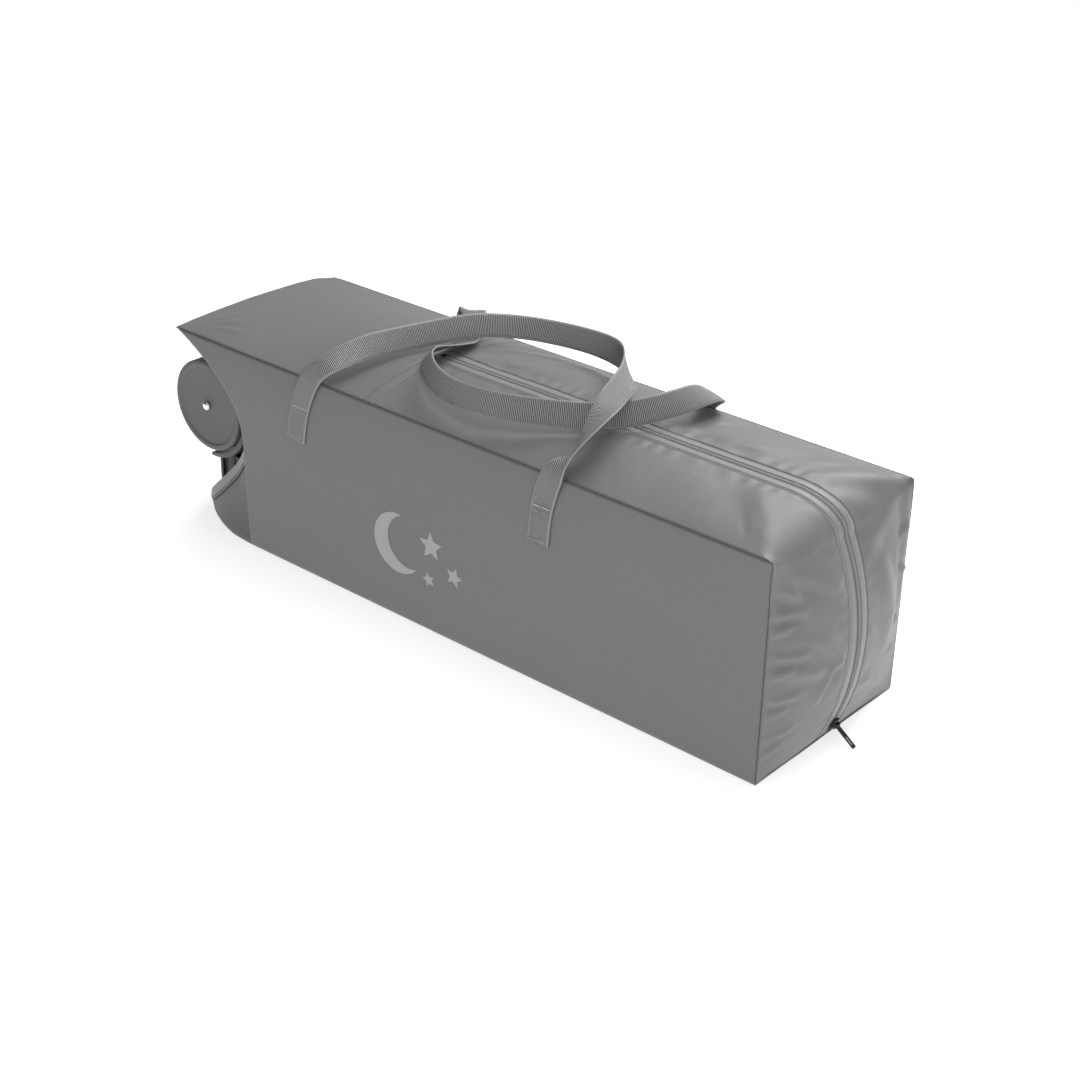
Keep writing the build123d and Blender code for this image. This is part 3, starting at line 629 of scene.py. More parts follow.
TOP_FOLDS = (
    ((0.230, 0.026, 0.26), (0.400, 0.106, 0.25), 0.0024, 0.016, 0.006),
    ((0.170, 0.024, 0.26), (0.330, 0.050, 0.25), 0.0018, 0.010, 0.006),
    ((0.360, 0.024, 0.25), (0.412, 0.104, 0.24), 0.0028, 0.013, 0.0),
    ((0.060, 0.028, 0.26), (0.240, 0.100, 0.25), 0.0020, 0.014, -0.006),
    ((-0.090, 0.024, 0.26), (0.070, 0.060, 0.26), 0.0024, 0.012, 0.006),
    ((-0.100, 0.070, 0.26), (0.030, 0.100, 0.26), 0.0018, 0.012, 0.0),
    ((0.330, -0.024, 0.26), (0.414, -0.108, 0.25), 0.0022, 0.013, 0.0),
    ((0.090, -0.026, 0.26), (0.320, -0.070, 0.26), 0.0016, 0.016, 0.005),
    ((-0.412, -0.106, 0.25), (-0.330, -0.085, 0.25), 0.0020, 0.007, 0.0),
    ((-0.408, -0.098, 0.25), (-0.350, -0.020, 0.25), 0.0018, 0.012, 0.004),
    ((-0.330, 0.060, 0.25), (-0.150, 0.010, 0.25), 0.0020, 0.020, 0.006),
)
# puckers at the upright seams of the zip end: side, height, reach, rise and size of each
PUCKERS = (
    (-1, 0.214, 0.030, -0.014, 0.0026), (-1, 0.188, 0.040, -0.004, 0.0032), (-1, 0.166, 0.026, 0.006, 0.0024),
    (-1, 0.144, 0.046, -0.010, 0.0034), (-1, 0.118, 0.030, 0.008, 0.0026), (-1, 0.096, 0.042, -0.006, 0.0032),
    (-1, 0.074, 0.028, 0.010, 0.0024), (-1, 0.050, 0.038, 0.004, 0.0030), (-1, 0.028, 0.026, 0.010, 0.0020),
    (1, 0.200, 0.026, -0.010, 0.0018), (1, 0.150, 0.030, 0.006, 0.0022), (1, 0.100, 0.028, -0.006, 0.0020),
    (1, 0.052, 0.032, 0.010, 0.0024),
)


def folds():
    """How far each point of the surface stands out or in."""
    x, y, z = base[:, :, 0], base[:, :, 1], base[:, :, 2]
    edge = np.clip((SIDE_Y - np.abs(y)) / 0.028, 0, 1)
    edge = edge * edge * (3 - 2 * edge)
    past = smooth_step(ZIP_START - 0.01, ZIP_START + 0.02, travel)
    calm = 1 - past * 0.85 * hump(y, 0.022)
    result = crumple(base, 6.5, 2.0) * 0.0022 * edge * calm * (0.6 + 0.4 * past)
    result += crumple(base, 24.0, 9.0) * 0.0004 * edge * calm * (0.2 + 0.8 * past)
    for side, height, reach, rise, size in PUCKERS:
        inner = (0.45, side * (0.1185 - reach), height + rise)
        result += fold((0.43, side * 0.1185, height), inner, size, 0.0042, 0.0, 0.6)
    for row in END_FOLDS:
        result += fold(*row)
    for row in TOP_FOLDS:
        result += fold(*row) * edge
    # the zip's groove with its raised lips, and the step where the tape is sewn
    zipped = smooth_step(ZIP_START - 0.004, ZIP_START + 0.010, travel)
    across = np.abs(y)
    result += zipped * 0.0005 * hump(across - 0.0075, 0.004)
    result -= zipped * 0.0004 * hump(across, 0.0028)
    result -= zipped * 0.0003 * hump(across - 0.0155, 0.0030)
    # small puckers beside the zip
    pucker = hump(across - 0.024, 0.009) * np.sin(travel * 260 + 3 * np.sin(travel * 41))
    result += zipped * 0.0007 * pucker
    # the lapped seam where the zip starts
    lap = travel - ZIP_START
    result += 0.0011 * smooth_step(-0.001, 0.0015, lap) * (1 - smooth_step(0.010, 0.0125, lap)) * edge
    floor = smooth_step(0.0, 0.02, z)
    beside = 1 - past * 0.7 * np.exp(-((y / 0.018) ** 4))
    return result * (0.25 + 0.75 * floor) * beside


SETTLE_FRAMES = 32
POLYESTER = {
    "quality": 7, "mass": 0.12, "tension_stiffness": 30, "compression_stiffness": 30, "shear_stiffness": 12,
    "bending_stiffness": 0.12, "air_damping": 3.0, "vertex_group_mass": "sewn",
    "vertex_group_shrink": "slack", "shrink_min": 0.0, "shrink_max": -0.045, "use_pressure": True,
    "uniform_pressure_force": 2.5,
}


def settled(surface):
    """The surface after its cloth, a little larger than the space between its seams, has found its folds."""
    rows, columns = surface.shape[:2]
    y = np.abs(spread)
    past = travel > ZIP_START - 0.0005
    sewn = y > SIDE_Y - 0.0005
    sewn |= past & (y < TAPE_Y + 0.0005)
    sewn[[0, -1]] = True
    sewn[COLUMNS["rear"]] = True
    on_end = smooth_step(travel_line[END_START] - 0.06, travel_line[END_START], travel)
    slack = np.where(past, 0.30 + 0.70 * on_end, 0.12)
    piece = made("slack", surface.reshape(-1, 3), grid_faces(rows, columns))
    for name, weights in (("sewn", sewn.astype(float)), ("slack", slack)):
        group = piece.vertex_groups.new(name=name)
        for index, weight in enumerate(weights.ravel()):
            group.add([index], float(weight), "REPLACE")
    cloth = piece.modifiers.new("cloth", "CLOTH")
    for setting, value in POLYESTER.items():
        setattr(cloth.settings, setting, value)
    cloth.settings.effector_weights.gravity = 0.0
    cloth.collision_settings.use_collision = False
    scene = bpy.context.scene
    cloth.point_cache.frame_start = 1
    cloth.point_cache.frame_end = SETTLE_FRAMES
    for step in range(1, SETTLE_FRAMES + 1):
        scene.frame_set(step)
    worn = piece.evaluated_get(bpy.context.evaluated_depsgraph_get())
    co = np.zeros(rows * columns * 3)
    worn.data.vertices.foreach_get("co", co)
    result = co.reshape(rows, columns, 3)
    bpy.data.objects.remove(piece, do_unlink=True)
    scene.frame_set(1)
    return result


skin = base + surface_normals(base) * folds()[:, :, None]
skin = settled(skin)
skin[:, :, 2] = np.maximum(skin[:, :, 2], 0.0008)
skin_up = surface_normals(skin)
skin_uv = np.stack([travel, spread], axis=2)
FIRST, LAST = COLUMNS["rear"], len(base)
T0, C0, C1, T1 = TAPE_LINES
CUTS = {
    "bag_top_rear_panel": (0, FIRST + 1, 0, len(lines), (0.24, 0.306), "mattress_panel_top"),
    "bag_gusset_front": (FIRST, LAST, 0, T0 + 1, (0.108, 0.80), "mattress_panel_top"),
    "zip_tape_front": (FIRST, LAST, T0, C0 + 1, (0.0115, 0.80), "bag_gusset_front"),
    "zip_coil": (FIRST, LAST, C0, C1 + 1, None, None),
    "zip_tape_back": (FIRST, LAST, C1, T1 + 1, (0.0115, 0.80), "bag_gusset_back"),
    "bag_gusset_back": (FIRST, LAST, T1, len(lines), (0.108, 0.80), "mattress_panel_top"),
}
for node, (row0, row1, col0, col1, flat, under) in CUTS.items():
    part = slice(row0, row1), slice(col0, col1)
    piece = grid_piece(f"{node}_cloth", skin[part], skin_uv[part], SKIN_WALL, FINISHES[SLOT_OF[node]])
    stands_for(piece, node)


def on_skin(y, row0=0, row1=None, lift=0.0):
    """Points and normals of the surface along one Y."""
    row1 = row1 or len(base)
    points = np.array([[np.interp(y, lines, skin[r, :, k]) for k in range(3)] for r in range(row0, row1)])
    ups = np.array([[np.interp(y, lines, skin_up[r, :, k]) for k in range(3)] for r in range(row0, row1)])
    return points + ups * lift, ups


# zip teeth: one modelled pair, copied down the zip
def modelled_tooth():
    """One coil turn: a small block, drawn in at its outer ends and rounded."""
    tooth = begin(bpy.ops.mesh.primitive_cube_add, size=1.0)
    bpy.ops.mesh.bevel(offset=0.22, segments=1, affect="EDGES")
    vertices, faces = shape_of(tooth)
    vertices[:, 0] *= 1 - 0.2 * (np.abs(vertices[:, 1]) > 0.3)
    return vertices, faces


TOOTH_PITCH = 0.0024                   # along one row; the other row's teeth lie between
TOOTH_SIZE = (0.00125, 0.0024, 0.0011)
TOOTH_OUT, TOOTH_UP = 0.0007, 0.0002   # a tooth's middle, from the middle of the zip


def zip_teeth():
    """Both rows of teeth, meshed along the middle."""
    shape, tooth_faces = modelled_tooth()
    points, ups = on_skin(0.0, FIRST + 3)
    lengths = np.concatenate([[0], np.cumsum(np.linalg.norm(np.diff(points, axis=0), axis=1))])
    vertices, faces = [], []
    long, wide, high = TOOTH_SIZE
    for index in range(int(lengths[-1] / TOOTH_PITCH * 2)):
        distance = index * TOOTH_PITCH / 2
        point = along_path(distance, lengths, points)
        ahead = along_path(distance + 0.001, lengths, points)
        up = along_path(distance, lengths, ups)
        up /= np.linalg.norm(up)
        along = (ahead - point) / max(np.linalg.norm(ahead - point), 1e-9)
        side = np.cross(up, along) * (1 if index % 2 else -1)
        start = len(vertices)
        for u, v, w in shape:
            out = side * (v * wide + TOOTH_OUT)
            vertices.append(point + along * u * long + out + up * (w * high + TOOTH_UP))
        faces.extend(tuple(start + k for k in face) for face in tooth_faces)
    piece = made("zip_teeth", vertices, faces, None, 0, FINISHES["zip_coil"])
    only(piece)
    bpy.ops.object.mode_set(mode="EDIT")
    bpy.ops.mesh.select_all(action="SELECT")
    bpy.ops.mesh.normals_make_consistent(inside=False)
    bpy.ops.object.mode_set(mode="OBJECT")
    return belongs(piece, "zip_coil")


zip_teeth()
for side, name in ((-1, "front"), (1, "back")):
    points, ups = on_skin(side * 0.0165, FIRST + 2, lift=0.0001)
    stitch_row(f"zip_stitch_{name}", points, ups, STITCH_PITCH, THREAD_MID, 0.65, 0.00022)
    points, ups = on_skin(side * 0.0030, FIRST + 2, lift=0.0002)
    stitch_row(f"coil_stitch_{name}", points, ups, 0.0030, SEAM_SHADOW_AND_DARK_THREAD, 0.6, 0.00022, like="zip_coil")
for row, name in ((FIRST, "first"), (FIRST + 4, "second")):
    line = skin[row] + skin_up[row] * 0.0004
    stitch_row(f"cross_stitch_{name}", line, skin_up[row], STITCH_PITCH, THREAD_SOFT)


# ================================================
# The sides, the floor and the end flaps
# ================================================
def mouth_x(z):
    """The side panel's edge at the wheel end: it leans out to the tip."""
    return MOUTH_X - (END_X + MOUTH_X) * max(0.0, (z - HEM_TOP) / (TOP_Z - HEM_TOP)) ** 2.4


def side_y(x, z):
    """How far out the side panel stands: a slight fullness in its middle."""
    span = max(0.0, 1 - (x / END_X) ** 2) ** 0.6
    share = min(max(z / TOP_Z, 0.0), 1.0)
    height = (1 - (1 - share) ** 6) * (1 - share**7)
    lean = 0.0012 * noise.noise(Vector((x * 5.2, z * 6.0, 4.0)))
    lean += 0.0004 * noise.noise(Vector((x * 17, z * 19, 1.0)))
    return SIDE_Y + (0.0048 + lean) * span * height


def side_surface():
    """The front panel as an array of points: columns along the bag, rows up it."""
    rows = np.linspace(0.0008, TOP_Z, 63)
    surface = []
    for share in np.linspace(0, 1, 177):
        column = []
        for z in rows:
            left = mouth_x(z)
            x = left + (END_X - left) * share
            column.append((x, -side_y(x, z), z))
        surface.append(column)
    return np.array(surface)


side_cloth = side_surface()
for name, sign in (("front", 1), ("back", -1)):
    points = side_cloth * np.array([1, sign, 1])
    uvs = side_cloth[:, :, [0, 2]]
    if sign < 0:
        near = 1 - smooth_step(0.0, 0.06, points[:, :, 0] + END_X)
        points[:, :, 0] += 0.011 * near * smooth_step(0.19, TOP_Z, points[:, :, 2])
    piece = grid_piece(
        f"bag_{name}_panel_cloth", points, uvs, SKIN_WALL, FINISHES["bag_cloth"], flip=sign < 0
    )
    stands_for(piece, f"bag_{name}_panel")


def floor_surface():
    """The bottom of the bag, narrower past the creases."""
    surface = []
    widest = SIDE_Y - 0.0003
    for x in np.concatenate([np.linspace(FLAP_END_X, MOUTH_X, 24), np.linspace(MOUTH_X, END_X, 120)[1:]]):
        share = (x - FLAP_END_X) / (MOUTH_X - FLAP_END_X)
        half = widest if x > MOUTH_X else FLAP_END_Y + (widest - FLAP_END_Y) * share
        row = [(half * t, noise.noise(Vector((x * 20, t * 3, 2)))) for t in np.linspace(-1, 1, 41)]
        surface.append([(x, y, 0.0016 + 0.0004 * wave) for y, wave in row])
    return np.array(surface)


ground = floor_surface()
piece = grid_piece("bag_bottom_cloth", ground, ground[:, :, :2], 0.001, FINISHES["bag_cloth"])
stands_for(piece, "bag_bottom_panel")

FLAP_WALL = 0.0009
FLAP_FAR = np.array([FLAP_END_X, -FLAP_END_Y])
FLAP_NEAR = np.array([MOUTH_X, -SIDE_Y])


def flap_point(share, height, out=0.0):
    """A point of the front flap: share 0 at the crease, 1 at its outer end; out is to the outside."""
    line = FLAP_FAR - FLAP_NEAR
    inward = np.array([line[1], -line[0]]) / np.linalg.norm(line)
    sag = 0.009 * math.sin(math.pi * share) ** 0.8 * (1 - height / 0.15)
    lean = (0.010 * height / 0.124 - 0.003) * smooth_step(0.0, 0.3, share)
    x, y = FLAP_NEAR + line * share + inward * (lean - sag - out)
    curl = 0.006 * smooth_step(0.75, 1.0, share) * (1 - smooth_step(0.0, 0.02, height))
    return x, y, height + float(curl)


def flap_edge(share):
    """Height of the flap's sloping edge: it hangs a little between its ends."""
    return HEM_TOP + (HEM_LOW - HEM_TOP) * share - 0.006 * math.sin(math.pi * share)


def flap_rows(low_share, out, above=0.0):
    """The flap from its floor edge, or a band of it, up to the sloping edge."""
    surface = []
    for share in np.linspace(0, 1, 37):
        top = flap_edge(share) + above
        low = top - 0.020 if low_share else 0.001
        low = max(low, 0.001 + share * 0.003) if low_share else low
        surface.append([flap_point(share, low + (top - low) * t, out) for t in np.linspace(0, 1, 19)])
    return np.array(surface)


def hem_line(below, out, start, end):
    """Points at one distance below the flap's sloping edge."""
    return np.array([flap_point(s, flap_edge(s) - below, out) for s in np.linspace(start, end, 40)])


for name, sign in (("front", 1), ("back", -1)):
    turn = np.array([1, sign, 1])
    for node, points, finish, flat, cut_area in (
        # the end flap is drawn in the darkened cloth: painted shade
        (f"bag_end_flap_{name}", flap_rows(False, 0.0), FLAP_CLOTH_PAINTED_SHADE, (0.128, 0.125), 0.0090),
        (f"bag_flap_hem_{name}", flap_rows(True, 0.0014, 0.0006), FINISHES["binding"], (0.02, 0.165), None),
    ):
        uvs = points[:, :, [0, 2]]
        piece = grid_piece(f"{node}_cloth", points * turn, uvs, FLAP_WALL, finish, flip=sign > 0)
        stands_for(piece, node)
    line = (FLAP_FAR - FLAP_NEAR) / np.linalg.norm(FLAP_FAR - FLAP_NEAR)
    stitched = hem_line(0.0155, 0.0020, 0.03, 0.86) * turn
    away = [(-line[1], line[0] * sign, 0.0)] * len(stitched)
    stitch_row(f"hem_stitch_{name}", stitched, away, STITCH_PITCH, THREAD_DARK, 0.7, 0.0004)
    # a thin dark cord along the hem's lower fold: painted shadow under the fold
    hem_shade_cord = tube_along(f"hem_fold_shade_{name}", hem_line(0.0190, 0.0012, 0.01, 0.84) * turn, 0.0007, SEAM_SHADOW_AND_DARK_THREAD)
    belongs(hem_shade_cord, f"bag_flap_hem_{name}")


# seams along the edges of the bag, drawn as thin dark cords: painted shadow in the seams' grooves
for name, sign in (("front", -1), ("back", 1)):
    column = 0 if sign < 0 else len(lines) - 1
    path = skin[2::2, column] + np.array([0, sign * 0.0002, 0])
    piece = tube_along(f"top_seam_groove_shade_{name}", path, 0.00036, SEAM_SHADOW_AND_DARK_THREAD)
    belongs(piece, "bag_front_panel")


# ================================================
# The print on the front: a moon and stars
# ================================================
def printed(name, outline_rows):
    """A flat shape of ink on the front panel, from rows of X and Z."""
    surface = np.array([[(x, -side_y(x, z) - 0.00025, z) for x, z in row] for row in outline_rows])
    piece = grid_piece(name, surface, surface[:, :, [0, 2]], 0.0, PRINT_INK)
    return belongs(piece, "bag_front_panel")


def moon(middle, radius, inner_radius, shift, tilt):
    """A crescent as rows between its outer and inner arcs."""
    cx, cz = middle
    meet = math.acos((radius**2 + shift**2 - inner_radius**2) / (2 * radius * shift))
    inner_meet = math.acos((radius * math.cos(meet) - shift) / inner_radius)
    rows = []
    for t in np.linspace(0, 1, 73):
        outer_turn = meet + (2 * math.pi - 2 * meet) * t + tilt
        inner_turn = inner_meet + (2 * math.pi - 2 * inner_meet) * t + tilt
        outer_point = np.array([cx + radius * math.cos(outer_turn), cz + radius * math.sin(outer_turn)])
        inner_point = np.array([
            cx + shift * math.cos(tilt) + inner_radius * math.cos(inner_turn),
            cz + shift * math.sin(tilt) + inner_radius * math.sin(inner_turn),
        ])
        rows.append([outer_point + (inner_point - outer_point) * s for s in np.linspace(0, 1, 7)])
    return rows


def star(middle, radius, tilt, points=5):
    """A star as rows from its middle to its edge."""
    cx, cz = middle
    half = math.pi / points
    dent = radius * 0.46
    edge = np.array([dent * math.cos(half) - radius, dent * math.sin(half)])     # from a tip to a dent
    rows = []
    for k in range(points * 8 + 1):
        turn = 2 * math.pi * k / (points * 8) + tilt
        angle = (1 - abs((k % 8) / 8 - 0.5) * 2) * half
        length = radius * edge[1] / (math.cos(angle) * edge[1] - math.sin(angle) * edge[0])
        away = np.linspace(0.02, 1, 5) * length
        rows.append([(cx + reach * math.cos(turn), cz + reach * math.sin(turn)) for reach in away])
    return rows


printed("print_moon", moon((-0.058, 0.094), 0.036, 0.031, 0.017, 0.35))
printed("print_star_large", star((-0.008, 0.108), 0.0175, 0.35))
printed("print_star_middle", star((0.026, 0.083), 0.0125, 0.05))
printed("print_star_small", star((-0.012, 0.066), 0.0095, 0.6))


# ================================================
# The carry handles
# ================================================
WEB_HALF = 0.0138                      # half the webbing's width
WEB_WALL = 0.0015
WEB_CUP = 0.0006                       # how far its middle stands out
EASINGS = 10                           # rounds of smoothing along a handle
# Each point of a loop is a place in millimetres and the direction across the webbing there.
FRONT_LOOP = [
    ((-190, -123.2, 247.5), (-1, 0, 0)), ((-172, -113, 266), (-0.9, 0.2, 0.4)),
    ((-158, -70, 277), (-0.6, 0.3, 0.75)), ((-146, -30, 278), (-0.5, 0.25, 0.83)),
    ((-131, 10, 279), (-0.45, 0.3, 0.85)), ((-108, 55, 281), (-0.45, 0.4, 0.8)),
    ((-76, 94, 276), (-0.4, 0.5, 0.77)), ((-38, 116, 272), (-0.3, 0.55, 0.78)),
    ((4, 122, 272), (-0.1, 0.6, 0.8)), ((45, 112, 275), (-0.05, 0.35, 0.93)),
    ((82, 85, 280), (-0.2, -0.1, 0.97)), ((112, 50, 286), (-0.45, -0.35, 0.82)),
    ((140, 8, 298), (-0.75, -0.3, 0.5)), ((160, -38, 300), (-0.9, 0.0, 0.35)),
    ((172, -80, 288), (-0.90, 0.04, -0.42)), ((172, -108, 269), (-0.60, 0.63, -0.50)),
    ((158, -123.2, 247.5), (-1, 0, 0)),
]
BACK_LOOP = [
    ((-190, 123.2, 247.5), (1, 0, 0)), ((-168, 113, 266), (0.95, 0.2, 0.2)),
    ((-139, 84, 270), (0.8, 0.55, 0.15)), ((-114, 47, 264), (0.8, 0.55, 0.05)),
    ((-103, 14, 269), (0.85, 0.1, 0.35)), ((-104, -16, 273), (0.8, -0.2, 0.55)),
    ((-88, -46, 275), (0.6, -0.1, 0.75)), ((-54, -73, 275), (0.3, 0.2, 0.9)),
    ((-15, -88, 275), (-0.1, 0.25, 0.95)), ((25, -90, 276), (-0.2, 0.35, 0.9)),
    ((60, -81, 276), (-0.25, 0.35, 0.9)), ((95, -64, 276), (-0.3, 0.35, 0.88)),
    ((126, -43, 275), (-0.4, 0.4, 0.8)), ((152, -18, 275), (-0.4, 0.3, 0.85)),
    ((172, 8, 278), (-0.45, 0.2, 0.86)), ((186, 40, 281), (-0.6, 0.1, 0.78)),
    ((192, 75, 281), (-0.85, -0.1, 0.5)), ((185, 106, 268), (-0.95, 0.05, 0.15)),
    ((158, 123.2, 247.5), (-1, 0, 0)),
]
# The sewn ends, up the side panel: X and Z in millimetres.
FRONT_ENDS = [((-215, 168), (-208, 207)), ((143, 167), (146, 207))]
BACK_ENDS = [((-205, 168), (-200, 207)), ((150, 168), (152, 207))]


def on_side(x, z, side):
    """A place on a side panel, in millimetres, where webbing lies."""
    return x, side * (side_y(x / 1000, z / 1000) * 1000 + 1.4), z


def handle(name, loop, ends, side):
    """A ribbon of webbing from one sewn end over the loop to the other."""
    first, last = ends
    start_across, end_across = loop[0][1], loop[-1][1]
    route = [(on_side(x, z, side), start_across) for x, z in first]
    route += list(loop)
    route += [(on_side(x, z, side), end_across) for x, z in reversed(last)]
    places = catmull([place for place, _ in route], 8) / 1000
    widths = catmull([np.array(across) / np.linalg.norm(across) for _, across in route], 8)
    for values in (places, widths):
        for _ in range(EASINGS):
            values[1:-1] = values[:-2] * 0.25 + values[1:-1] * 0.5 + values[2:] * 0.25
    alongs = np.gradient(places, axis=0)
    alongs /= np.linalg.norm(alongs, axis=1, keepdims=True)
    lengths = np.concatenate([[0], np.cumsum(np.linalg.norm(np.diff(places, axis=0), axis=1))])
    ribbon, uvs = [], []
    for place, across, along, length in zip(places, widths, alongs, lengths):
        across = across - along * across.dot(along)
        across /= np.linalg.norm(across)
        through = np.cross(along, across)
        shares = np.linspace(-1, 1, 9)
        ribbon.append([place + across * t * WEB_HALF + through * WEB_CUP * (1 - t * t) for t in shares])
        uvs.append([(length, t * WEB_HALF) for t in shares])
    piece = grid_piece(f"{name}_webbing", np.array(ribbon), np.array(uvs), 0.0, FINISHES["webbing"])
    wall = piece.modifiers.new("wall", "SOLIDIFY")
    wall.thickness = WEB_WALL
    wall.offset = 0.0
    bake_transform(piece)
    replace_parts(piece, name, f"{name}_ends")


handle("handle_front", FRONT_LOOP, FRONT_ENDS, -1)
handle("handle_back", BACK_LOOP, BACK_ENDS, 1)


def patch_stitches(name, low, high, side):
    """The box of thread at a handle's sewn end, with a dense bar across its top."""
    (x0, z0), (x1, z1) = [(x / 1000, z / 1000) for x, z in (low, high)]
    lean = (x1 - x0) / (z1 - z0)

    def at(u, z):
        x = x0 + lean * (z - z0) + u
        return np.array((x, side * (side_y(x, z) + 0.0023), z))

    up = (0, side, 0)
    bar = [at(u, z1 + 0.0015) for u in np.linspace(-0.0118, 0.0118, 12)]
    stitch_row(f"{name}_bar", bar, [up] * len(bar), 0.0016, THREAD_LIGHT, 0.9, 0.0005)
    left, right, bottom, top = -0.0115, 0.0115, z0 + 0.004, z1 - 0.004
    corners = ((left, bottom), (right, bottom), (right, top), (left, top), (left, bottom))
    corners = [at(u, z) for u, z in corners]
    box = [a + (b - a) * t for a, b in zip(corners, corners[1:]) for t in np.linspace(0, 1, 8)]
    stitch_row(f"{name}_box", box, [up] * len(box), 0.0030, THREAD_SOFT, 0.7, 0.00035)


for name, ends, side_sign in (("front", FRONT_ENDS, -1), ("back", BACK_ENDS, 1)):
    for place, points in zip(("low", "high"), ends):
        patch_stitches(f"patch_{name}_{place}", points[0], points[1], side_sign)


# ================================================
# The wheels
# ================================================
# Steps from the rim to the hub, as on a lathe: how far in, and how deep.
TREAD_STEPS = (0.0014, -0.0010), (0.0012, -0.0004), (0.0032, 0.0), (0.0010, 0.0006), (0.0012, 0.0012)
FACE_STEPS = (
    (0.0008, 0.0004), (0.0018, 0.0002), (0.0034, 0.0030), (0.0005, 0.0006), (0.0010, 0.0), (0.0006, -0.0012),
    (0.0270, 0.0),
)


def turned_disc(name, radius, low_y, high_y, centre, steps, material, sides=96):
    """A disc along Y whose outer face is worked step by step, from the rim inwards."""
    depth = abs(high_y - low_y)
    disc = begin(bpy.ops.mesh.primitive_cylinder_add, vertices=sides, radius=radius, depth=depth)
    disc.name = name
    bpy.ops.transform.rotate(value=math.pi / 2, orient_axis="X", center_override=(0, 0, 0))
    bpy.ops.transform.translate(value=(centre[0], (low_y + high_y) / 2, centre[1]))
    outward = -1 if low_y < 0 else 1
    pick_faces(disc, lambda normal: normal.y * outward > 0.9)
    for inset, sink in steps:
        bpy.ops.mesh.inset(thickness=inset, depth=-sink)
    bpy.ops.object.mode_set(mode="OBJECT")
    disc.data.materials.append(material)
    round_edges(disc, 0.0006, 28)
    return disc


def wheel(name, sign):
    """Disc and tread of one wheel, from the CAD's sizes."""
    low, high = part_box(f"wheel_tyre_{name}")
    disc_low, disc_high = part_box(f"wheel_disc_{name}")
    centre = ((low.x + high.x) / 2, (low.z + high.z) / 2)
    face, inner = (low.y, high.y) if sign < 0 else (high.y, low.y)
    tread, plastic = FINISHES["wheel_tread"], FINISHES["wheel_plastic"]
    radius = (high.x - low.x) / 2 - 0.0001
    tyre = turned_disc(f"wheel_tread_{name}", radius, face, inner, centre, TREAD_STEPS, tread)
    stands_for(tyre, f"wheel_tyre_{name}")
    radius, front, rear = (disc_high.x - disc_low.x) / 2, face - sign * 0.0012, face - sign * 0.004
    disc = turned_disc(f"wheel_face_{name}", radius, front, rear, centre, FACE_STEPS, plastic)
    stands_for(disc, f"wheel_disc_{name}")


for name, sign in (("front", -1), ("back", 1)):
    wheel(name, sign)
    softened_copy(f"axle_cap_{name}", 0.0004)
    softened_copy(f"wheel_bracket_{name}", 0.0012)
    softened_copy(f"low_foot_{name}", 0.0014)
for node in ("zip_slider", "zip_top_stop", "zip_bottom_stop", "zip_pull"):
    softened_copy(node, 0.0003)
for node in sorted(frame["nodes"]):
    if node.startswith(("corner_cap", "centre_hub", "long_rail_latch", "short_rail_latch")):
        softened_copy(node, 0.0012)


# ================================================
# The mattress panels and the folded sides, seen through the open wheel end
# ================================================
def pad(name, low, high, body, like, round_edge=0.008, puff=0.002):
    """A stuffed slab with rounded edges and a slightly uneven cover."""
    piece = begin(bpy.ops.mesh.primitive_cube_add, size=1.0)
    piece.name = name
    bpy.ops.mesh.subdivide(number_cuts=28)
    bpy.ops.object.mode_set(mode="OBJECT")
    size = high - low
    middle = (high + low) / 2
    thin = min(range(3), key=lambda k: size[k])
    core = size / 2 - Vector([round_edge] * 3)
    for vertex in piece.data.vertices:
        place = vertex.co * size
        inner = Vector([max(-core[k], min(core[k], place[k])) for k in range(3)])
        reach = place - inner
        if reach.length > round_edge:
            place = inner + reach.normalized() * round_edge
        wave = noise.noise(place * 22 + middle * 7) * puff
        place[thin] *= 1 - (puff * 1.2 + wave) / size[thin]
        vertex.co = place + middle
    piece.data.polygons.foreach_set("use_smooth", [True] * len(piece.data.polygons))
    piece.data.materials.append(FINISHES[SLOT_OF[like]])
    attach(piece, body)
    return piece


for name in ("front", "back", "top", "bottom"):
    node = f"mattress_panel_{name}"
    low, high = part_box(node)
    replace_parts(pad(f"{node}_pad", low, high, "bag", node), node)
LAYER_THICK, LAYER_ROOM = 0.006, 0.001
Y, Z = 1, 2
for index, (axis, at_top) in enumerate(((Z, False), (Z, True), (Y, False), (Y, True))):
    low, high = [corner.copy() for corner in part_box("side_fabric")]
    if axis == Y:
        low.z, high.z = low.z + LAYER_THICK + LAYER_ROOM, high.z - LAYER_THICK - LAYER_ROOM
    if at_top:
        low[axis] = high[axis] - LAYER_THICK
    else:
        high[axis] = low[axis] + LAYER_THICK
    layer = pad(f"side_fabric_layer_{index}", low, high, "bag", "side_fabric", 0.0028, 0.0008)
    if index == 0:
        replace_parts(layer, "side_fabric")


# ================================================
# Floor, light and camera
# ================================================
SKY = 0.42
WHEEL_END = (-0.38, -0.1, 0.1)
CARD_PLACE, CARD_SIZE = (-1.25, -0.75, 0.55), 1.3   # a dark card keeps the sky off the wheel end
# place, aim, size and watts of each light
LIGHTS = (
    ("key", (-0.15, 2.0, 1.9), (0.1, 0, 0.2), (1.6, 1.1), 46.0),
    ("over", (0.4, 0.2, 2.6), (0.1, 0, 0.2), (1.6, 1.4), 18.0),
    ("side", (2.0, -1.9, 1.3), (0.1, 0, 0.15), (1.5, 1.1), 12.0),
)


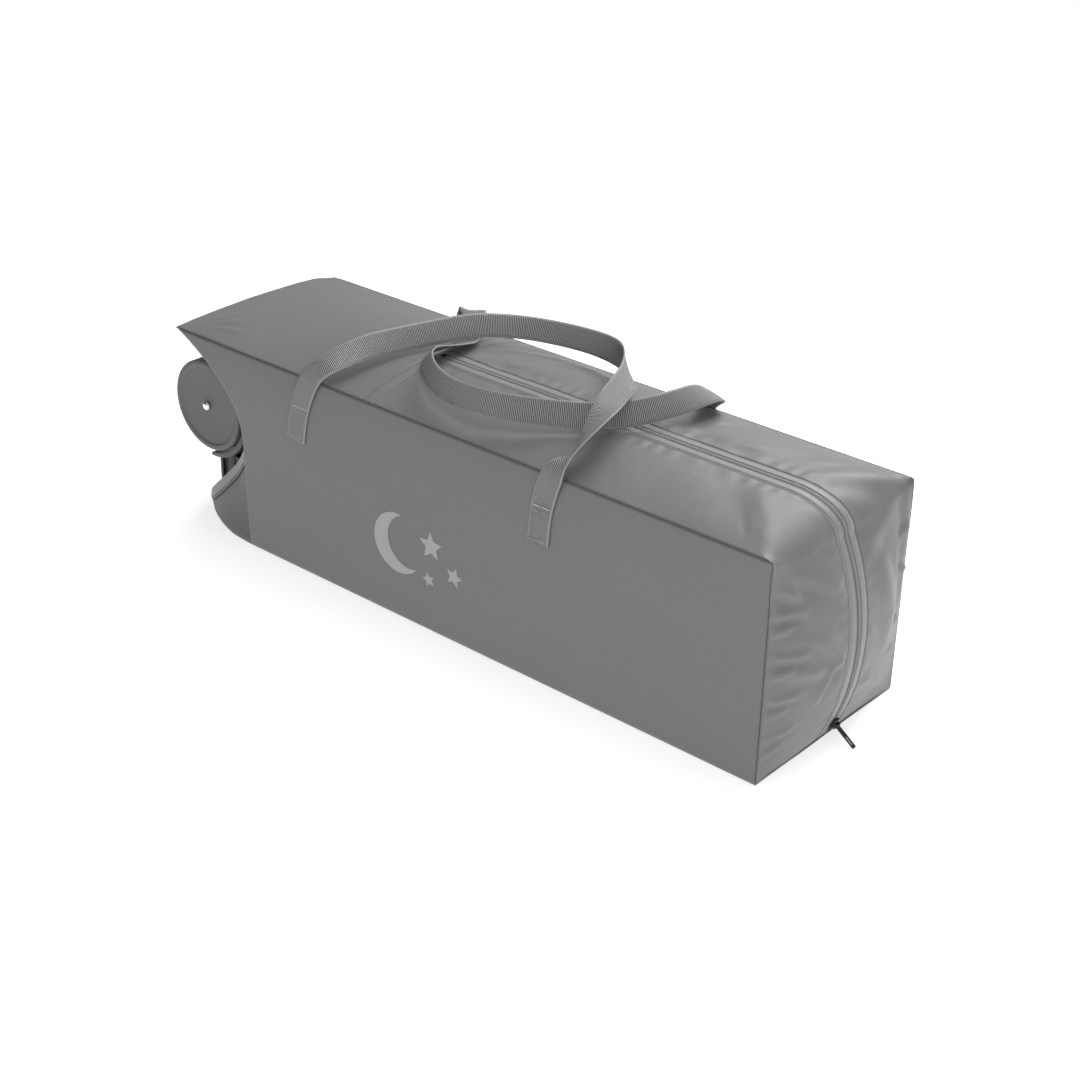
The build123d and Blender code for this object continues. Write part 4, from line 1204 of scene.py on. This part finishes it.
def studio():
    """A plain pale floor, a soft sky that looks white, three large lights and the dark card."""
    bpy.ops.object.select_all(action="DESELECT")
    bpy.ops.mesh.primitive_plane_add(size=40)
    floor = bpy.context.object
    floor.name = "floor"
    ground_finish = Finish("floor", (0.82, 0.82, 0.82), 0.9)
    ground_finish.put("Emission Color", (1, 1, 1, 1))
    ground_finish.put("Emission Strength", 0.58)
    floor.data.materials.append(ground_finish.material)

    world = bpy.data.worlds.new("sky")
    bpy.context.scene.world = world
    world.use_nodes = True
    tree = world.node_tree
    back = tree.nodes["Background"]
    seen = tree.nodes.new("ShaderNodeBackground")
    rays = tree.nodes.new("ShaderNodeLightPath")
    mix = tree.nodes.new("ShaderNodeMixShader")
    back.inputs["Color"].default_value = (1, 1, 1, 1)
    back.inputs["Strength"].default_value = SKY
    seen.inputs["Color"].default_value = (1, 1, 1, 1)
    seen.inputs["Strength"].default_value = 1.05
    tree.links.new(rays.outputs["Is Camera Ray"], mix.inputs[0])
    tree.links.new(back.outputs[0], mix.inputs[1])
    tree.links.new(seen.outputs[0], mix.inputs[2])
    tree.links.new(mix.outputs[0], tree.nodes["World Output"].inputs[0])

    for name, place, target, size, power in LIGHTS:
        data = bpy.data.lights.new(name, "AREA")
        data.shape = "RECTANGLE"
        data.size, data.size_y = size
        data.energy = power
        lamp = bpy.data.objects.new(name, data)
        bpy.context.collection.objects.link(lamp)
        lamp.location = place
        lamp.rotation_euler = (Vector(target) - Vector(place)).to_track_quat("-Z", "Y").to_euler()

    bpy.ops.mesh.primitive_plane_add(size=CARD_SIZE, location=CARD_PLACE)
    card = bpy.context.object
    card.name = "shade_card"
    card.rotation_euler = (Vector(WHEEL_END) - card.location).to_track_quat("Z", "Y").to_euler()
    card.data.materials.append(Finish("shade_card", (0.02, 0.02, 0.02), 0.9).material)
    card.visible_camera = False


studio()


CAMERA_PLACE = (1.2740, -1.4312, 1.0787)
CAMERA_ANGLES = (40.833, 27.737, 1.030)    # round the object, above the floor, and tilt
CAMERA_LENS = 64.93


def camera():
    """The camera, in front of the zip end and above it."""
    azimuth, elevation, roll = (math.radians(angle) for angle in CAMERA_ANGLES)
    level_part = math.cos(elevation)
    back = Vector((math.sin(azimuth) * level_part, -math.cos(azimuth) * level_part, math.sin(elevation)))
    level = Vector((math.cos(azimuth), math.sin(azimuth), 0))
    raised = back.cross(level)
    right = level * math.cos(roll) + raised * math.sin(roll)
    up = raised * math.cos(roll) - level * math.sin(roll)
    data = bpy.data.cameras.new("camera")
    data.lens = CAMERA_LENS
    data.sensor_width = 36.0
    data.clip_start = 0.01
    view_point = bpy.data.objects.new("camera", data)
    bpy.context.collection.objects.link(view_point)
    rows = [[right[k], up[k], back[k], CAMERA_PLACE[k]] for k in range(3)] + [[0, 0, 0, 1]]
    view_point.matrix_world = Matrix(rows)
    bpy.context.scene.camera = view_point


camera()
bpy.context.scene.view_settings.view_transform = "Standard"
